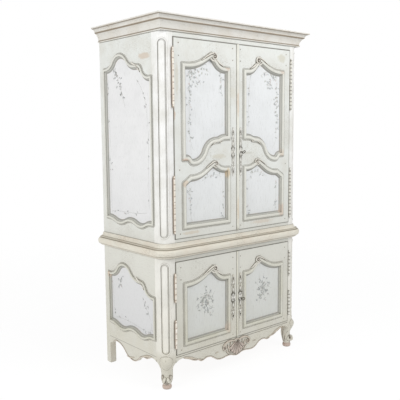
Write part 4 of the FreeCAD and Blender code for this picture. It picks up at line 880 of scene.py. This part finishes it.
def dropped(tree, starts, direction):
    # points laid on a surface; where a ray misses, its neighbours along the stroke give the point
    hits = [tree.ray_cast(Vector(start), Vector(direction))[0] for start in starts]
    found = np.array([number for number, hit in enumerate(hits) if hit])
    spots = np.array([tuple(hits[number]) for number in found])
    return np.stack([np.interp(np.arange(len(hits)), found, spots[:, axis]) for axis in range(3)], axis=-1)


def lipStroke(stations, heights, lift, width, rise):
    # The sawn edge moved up by lift, with width and height falling in a straight line over the last
    # stations at each end.
    known = ~np.isnan(heights)
    level = np.interp(stations, stations[known], heights[known])
    ends = np.minimum(np.arange(len(stations)), np.arange(len(stations))[::-1]) / apron["taper"]
    taper = np.clip(ends, 0.15, 1)
    return np.stack([stations, level + lift], axis=-1), width * taper, rise * taper


def edgeLips(node, stations, point, laid):
    # the rolled lip along a sawn edge and the dark line above it
    stations = np.linspace(*stations)
    heights = sawnEdge(node, stations, point)
    return [carvedStrokes([lipStroke(stations, heights, lift, width, rise)], laid, *apron["lipCut"],
                          tint=apron[tone])
            for lift, width, rise, tone in apron["lips"]]


front = faces["apron"]
shell = [carvedStrokes(fanRibs(apron), onFront(front), *apron["ribCut"], tint=apron["shell"]),
         carvedStrokes(drawn(crownRows), onFront(front), *apron["crownCut"], tint=apron["scroll"])]
leaves = []
scrolls = [(plan * np.array([apron["narrowed"], 1.0]), width, rise)
           for plan, width, rise in drawn(scrollRows)]
eye, radius, height, sunk = apron["knob"]
for side in sides.values():
    laid = onFront(front, side)
    shell += [carvedStrokes(scrolls, laid, *apron["scrollCut"], tint=apron["scroll"]),
              domes([eye], laid, radius, height, apron["line"], sunk)]
    leaves.append(carvedStrokes(drawn(leafRows), laid, *apron["leafCut"], tint=apron["leaf"]))
addPiece("apronShellCarving", shell, "case", "carvingPaint", "apron_shell")
leaves += edgeLips("front_apron", apron["frontStations"],
                   lambda x: (x / 1000, front + apron["inside"], 0.0), onFront(front))
for name, side in sides.items():
    edge = side * faces["side"]
    leaves += edgeLips(f"lower_side_rails_{name}", apron["sideStations"],
                       lambda y: (edge - side * apron["inside"], y / 1000, 0.0), onSide(edge))
    leaves.append(carvedStrokes(drawn(sideLeafRows), onSide(edge), *apron["leafCut"], tint=apron["leaf"]))
addPiece("apronLeafCarving", leaves, "case", "carvingPaint")
print("aprons are carved")


# legs: lines cut round the knee, two petals that turn out from each toe, and the turn of the scroll on its
# flanks. The planes they are drawn on stand off the leg's outer corner, in m.
# The quirk and deep tints are painted shade: dark where the cuts and the turns of the scroll lie in shade,
# with a dark band above the pad; the faint strokes paint shade down the flanks of the knee
legs = {"apex": (0.5944, -0.2924), "quirk": "#a5a192", "faint": "#b3b0a1", "deep": "#6b6153",
        "light": "#c2baab", "sunk": 0.0015,
        "petal": ((22, -15, 91), (27, -12, 84), (23, -5, 62), (12, -4, 50), (5, -9, 41)),
        "petalWidths": (2.0, 6.0, 2.5), "petalHeight": 4.5, "petalSunk": 0.007, "petalGroove": 0.45,
        "rim": 2.0, "rimDrop": 1.3, "kneePlane": 0.15, "flankPlane": 0.2}
upward = np.array([0, 0, 1])
legRows = [
    ([(-41, 192), (-30, 226), (30, 226), (41, 192)], (1.2, 1.8, 1.2), 0.8, "quirk"),
    ([(1, 198), (-2, 194), (2, 190), (0, 186)], 1.8, 0.6, "quirk"),
    ([(-20, 136), (-7, 126), (7, 126), (20, 136)], (0.8, 2.6, 0.8), 0.5, "quirk"),
    ([(-40, 196), (-44, 168), (-34, 146), (-12, 134)], (0.8, 2.2, 0.8), 0.4, "faint"),
    ([(40, 196), (44, 168), (34, 146), (12, 134)], (0.8, 2.2, 0.8), 0.4, "faint"),
    ([(-20, 42), (-12, 35), (12, 35), (20, 42)], (2.5, 4.5, 2.5), 0.7, "deep")]
flankRows = [
    ([(-14, 92), (-40, 88), (-44, 52), (-18, 42)], (1.2, 2.0, 1.2), 1.0, "deep"),
    ([(-30, 126), (-50, 100), (-60, 66), (-48, 38)], (1.2, 2.2, 1.6), 1.0, "deep"),
    ([(-60, 140), (-70, 112), (-68, 76), (-58, 40)], (1.5, 4.0, 3.0), 0.8, "deep"),
    ([(-36, 118), (-46, 100), (-54, 76), (-44, 50)], 3.0, 1.6, "light")]


def petalSkin(apex, along, outward, turn, rim, tone):
    # One petal: a blade along the curve apex + turn * across * along + out * outward + rise * up. With a rim
    # it is wider, lower and dark, a painted shade that stands as an edge round the petal above it.
    across, out, rise = bent(legs["petal"]).T[:, :, None] / 1000
    path = apex + turn * across * along + out * outward + rise * upward
    widths = swelling(*legs["petalWidths"]) + rim
    heights = np.full(strokeSteps, legs["petalHeight"] - legs["rimDrop"] * rim)
    groove = 0.0 if rim else legs["petalGroove"]
    skin = bladeSurface(path[None], outward, widths[None] / 1000, heights[None] / 1000, legs["petalSunk"],
                        12, groove)
    return skin, paintTints([legs[tone]])


def laidStrokes(rows, tree, start, across, toward):
    # Strokes drawn on a plane through start: each point start + plan across * across + plan height * up is
    # carried back along toward until it meets the leg.
    def place(plan):
        return dropped(tree, start + (plan[:, :1] * across + plan[:, 1:] * upward) / 1000, -toward)
    strokes = [(plan, width, rise, legs[tone]) for plan, width, rise, tone in drawn(rows)]
    return carvedStrokes(strokes, (place, toward), legs["sunk"])


cuts = []
for name, side in sides.items():
    outward = np.array([side, -1, 0]) / math.sqrt(2)
    along = np.array([side, 1, 0]) / math.sqrt(2)
    apex = np.array([side * legs["apex"][0], legs["apex"][1], 0])
    tree = BVHTree.FromObject(nodes[f"lower_post_{name}"], depsgraph)
    cuts.append(laidStrokes(legRows, tree, apex + legs["kneePlane"] * outward, along, outward))
    cuts += [laidStrokes(flankRows, tree, apex + legs["flankPlane"] * flank, outward, flank)
             for flank in (along, -along)]
    cuts += [petalSkin(apex, along, outward, turn, rim, tone) for turn in (1, -1)
             for rim, tone in ((0, "light"), (legs["rim"], "deep"))]
addPiece("legCarving", cuts, "case", "carvingPaint")
print("legs are cut")


# painted sprays: garlands of small leaves with a few blossoms, of the makers' usual loose kind. In mm:
# length of a leaf, scatter about its bunch, petal, ring they stand on, rise, half width and rise of stems;
# gather draws the bunches along a garland, lean turns leaves in radians, fray is a share of the spread
sprayLook = {"tones": ["#9ca1a4", "#92979a", "#a3a697", "#acaea1", "#b4b7b8", "#c2aea8"], "stemTone": 2,
             "together": 5, "length": (5, 12), "slim": (0.15, 0.24), "shape": (0.5, 1, 0.4), "bow": 0.12,
             "petals": 5, "petal": 5.5, "ring": 1.2, "rise": 0.25, "sunk": 0.0002, "stem": (0.55, 0.2),
             "gather": (0.9, 1.3),
             "scatter": 2.2, "lean": 1.2, "fray": 0.6, "perBlossom": 22, "stations": 200, "lastBlossom": 160,
             "depth": {"upper": 1.15, "lower": 0.8, "side": 0.7}}


def burst(centre, reaches, count, spread):
    # short garlands that leave a centre all round, with their middles turned a little further
    across, up = centre
    garlands = []
    for turn, reach in zip(np.linspace(0.2, 6.1, len(reaches)), reaches):
        bow = (across + 0.5 * reach * math.cos(turn + 0.4), up + 0.6 * reach * math.sin(turn + 0.4))
        tip = (across + reach * math.cos(turn), up + 1.2 * reach * math.sin(turn))
        garlands.append(([centre, bow, tip], count, spread))
    return garlands


# each garland: control points in mm, leaves, spread in mm
sprays = {
    "upper": [
        ([(395, 2035), (392, 1900), (398, 1780), (396, 1660)], 170, 15),
        ([(392, 2020), (330, 2035), (270, 2010), (235, 1985)], 90, 20),
        ([(385, 1990), (345, 1960), (310, 1930), (300, 1905)], 110, 26),
        ([(150, 2015), (122, 1950), (118, 1800), (122, 1640)], 55, 9),
        ([(396, 1640), (392, 1580), (390, 1530), (360, 1500)], 22, 12),
        ([(395, 1260), (398, 1180), (396, 1090), (380, 1035)], 45, 8),
        ([(380, 1036), (300, 1030), (200, 1030), (120, 1040)], 80, 6),
        ([(118, 1045), (114, 1120), (114, 1200), (120, 1300)], 40, 8),
        ([(130, 1320), (180, 1350), (230, 1345), (300, 1300)], 40, 9)],
    "lower": burst((265, 512), (86, 74, 95, 80, 88, 70, 84, 92, 82, 76, 90), 25, 17),
    "side": [
        ([(200, 2030), (170, 1960), (130, 1880), (90, 1770)], 140, 20),
        ([(285, 1960), (280, 1850), (286, 1700), (270, 1480)], 22, 12),
        ([(282, 1460), (278, 1350), (284, 1200), (270, 1080)], 16, 10),
        ([(-40, 1940), (-110, 1880), (-150, 1800), (-150, 1650)], 34, 13),
        ([(-160, 1620), (-158, 1450), (-150, 1280), (-155, 1140)], 20, 10),
        ([(270, 1085), (150, 1105), (30, 1080), (-130, 1110)], 34, 9),
        ([(200, 650), (195, 620), (175, 590), (165, 560)], 50, 20),
        ([(285, 600), (280, 520), (280, 430), (265, 360)], 14, 9),
        ([(-60, 530), (-95, 515), (-120, 470), (-150, 420)], 40, 14),
        ([(-160, 400), (-165, 370), (-150, 340), (-120, 325)], 12, 8),
        ([(250, 350), (130, 370), (20, 345), (-110, 335)], 26, 9)]}


def paintedSpray(garlands, face, chance, depth):
    # Leaves are short blades set off from each garland in bunches, blossoms petals on a ring, stems thin
    # lines; depth is how dark they are.
    place, normal = face
    palette = paintTints(sprayLook["tones"]) * np.array([depth, depth, depth, 1.0])
    bunch, petals, blossom = sprayLook["together"], sprayLook["petals"], len(palette) - 1
    roots, angles, lengths, tones, stems = [], [], [], [], []
    for controls, count, spread in garlands:
        line = bent(controls, sprayLook["stations"])
        heading = np.gradient(line, axis=0)
        sprigs = max(2, count // bunch)
        along = chance.beta(*sprayLook["gather"], sprigs)
        at = np.repeat((along * (len(line) - 1)).astype(int), bunch)
        count = len(at)
        turn = np.arctan2(heading[at, 1], heading[at, 0])
        off = np.repeat(chance.normal(0, spread, sprigs), bunch)
        around = chance.normal(0, sprayLook["scatter"], (count, 2))
        roots.append(line[at] + np.stack([-np.sin(turn), np.cos(turn)], axis=-1) * off[:, None] + around)
        angles.append(turn + chance.normal(0, sprayLook["lean"], count))
        lengths.append(chance.uniform(*sprayLook["length"], count))
        tones.append(chance.integers(0, blossom, count))
        blossoms = max(1, count // sprayLook["perBlossom"])
        where = line[chance.integers(0, sprayLook["lastBlossom"], blossoms)]
        where = where + chance.normal(0, spread * sprayLook["fray"], (blossoms, 2))
        ring = np.tile(np.arange(petals) * 2 * np.pi / petals, blossoms)
        outward = np.stack([np.cos(ring), np.sin(ring)], axis=-1)
        roots.append(np.repeat(where, petals, axis=0) + sprayLook["ring"] * outward)
        angles.append(ring)
        lengths.append(np.full(len(ring), sprayLook["petal"]))
        tones.append(np.full(len(ring), blossom))
        stems.append((line[::9][:23], *sprayLook["stem"]))
    roots, angles, lengths, tones = map(np.concatenate, (roots, angles, lengths, tones))
    heading = np.stack([np.cos(angles), np.sin(angles)], axis=-1)
    bow = np.stack([-heading[:, 1], heading[:, 0]], axis=-1) * sprayLook["bow"]
    path = roots[:, None, :] + lengths[:, None, None] * np.stack(
        [0 * heading, 0.5 * heading + bow, heading], axis=1)
    slim = chance.uniform(*sprayLook["slim"], len(lengths))
    widths = lengths[:, None] * slim[:, None] * np.array(sprayLook["shape"])
    rise = np.full(widths.shape, sprayLook["rise"])
    leafSkins = bladeSurface(place(path), normal, widths / 1000, rise / 1000, sprayLook["sunk"], 4)
    stemSkins = carvedStrokes(stems, face, sprayLook["sunk"], around=4)[0]
    stemTones = np.repeat(palette[[sprayLook["stemTone"]]], len(stems), axis=0)
    return [(leafSkins, palette[tones]), (stemSkins, stemTones)]


chance = np.random.default_rng(7)
for level, name, side in doors:
    spray = paintedSpray(sprays[level], onFront(faces["panel"], side), chance, sprayLook["depth"][level])
    addToDoor(level, name, "spray", spray, "sprayPaint")
for name, side in sides.items():
    spray = paintedSpray(sprays["side"], onSide(side * faces["sidePanel"]), chance,
                         sprayLook["depth"]["side"])
    addPiece(f"side_{name}_spray", spray, "case", "sprayPaint")
print("sprays are painted")
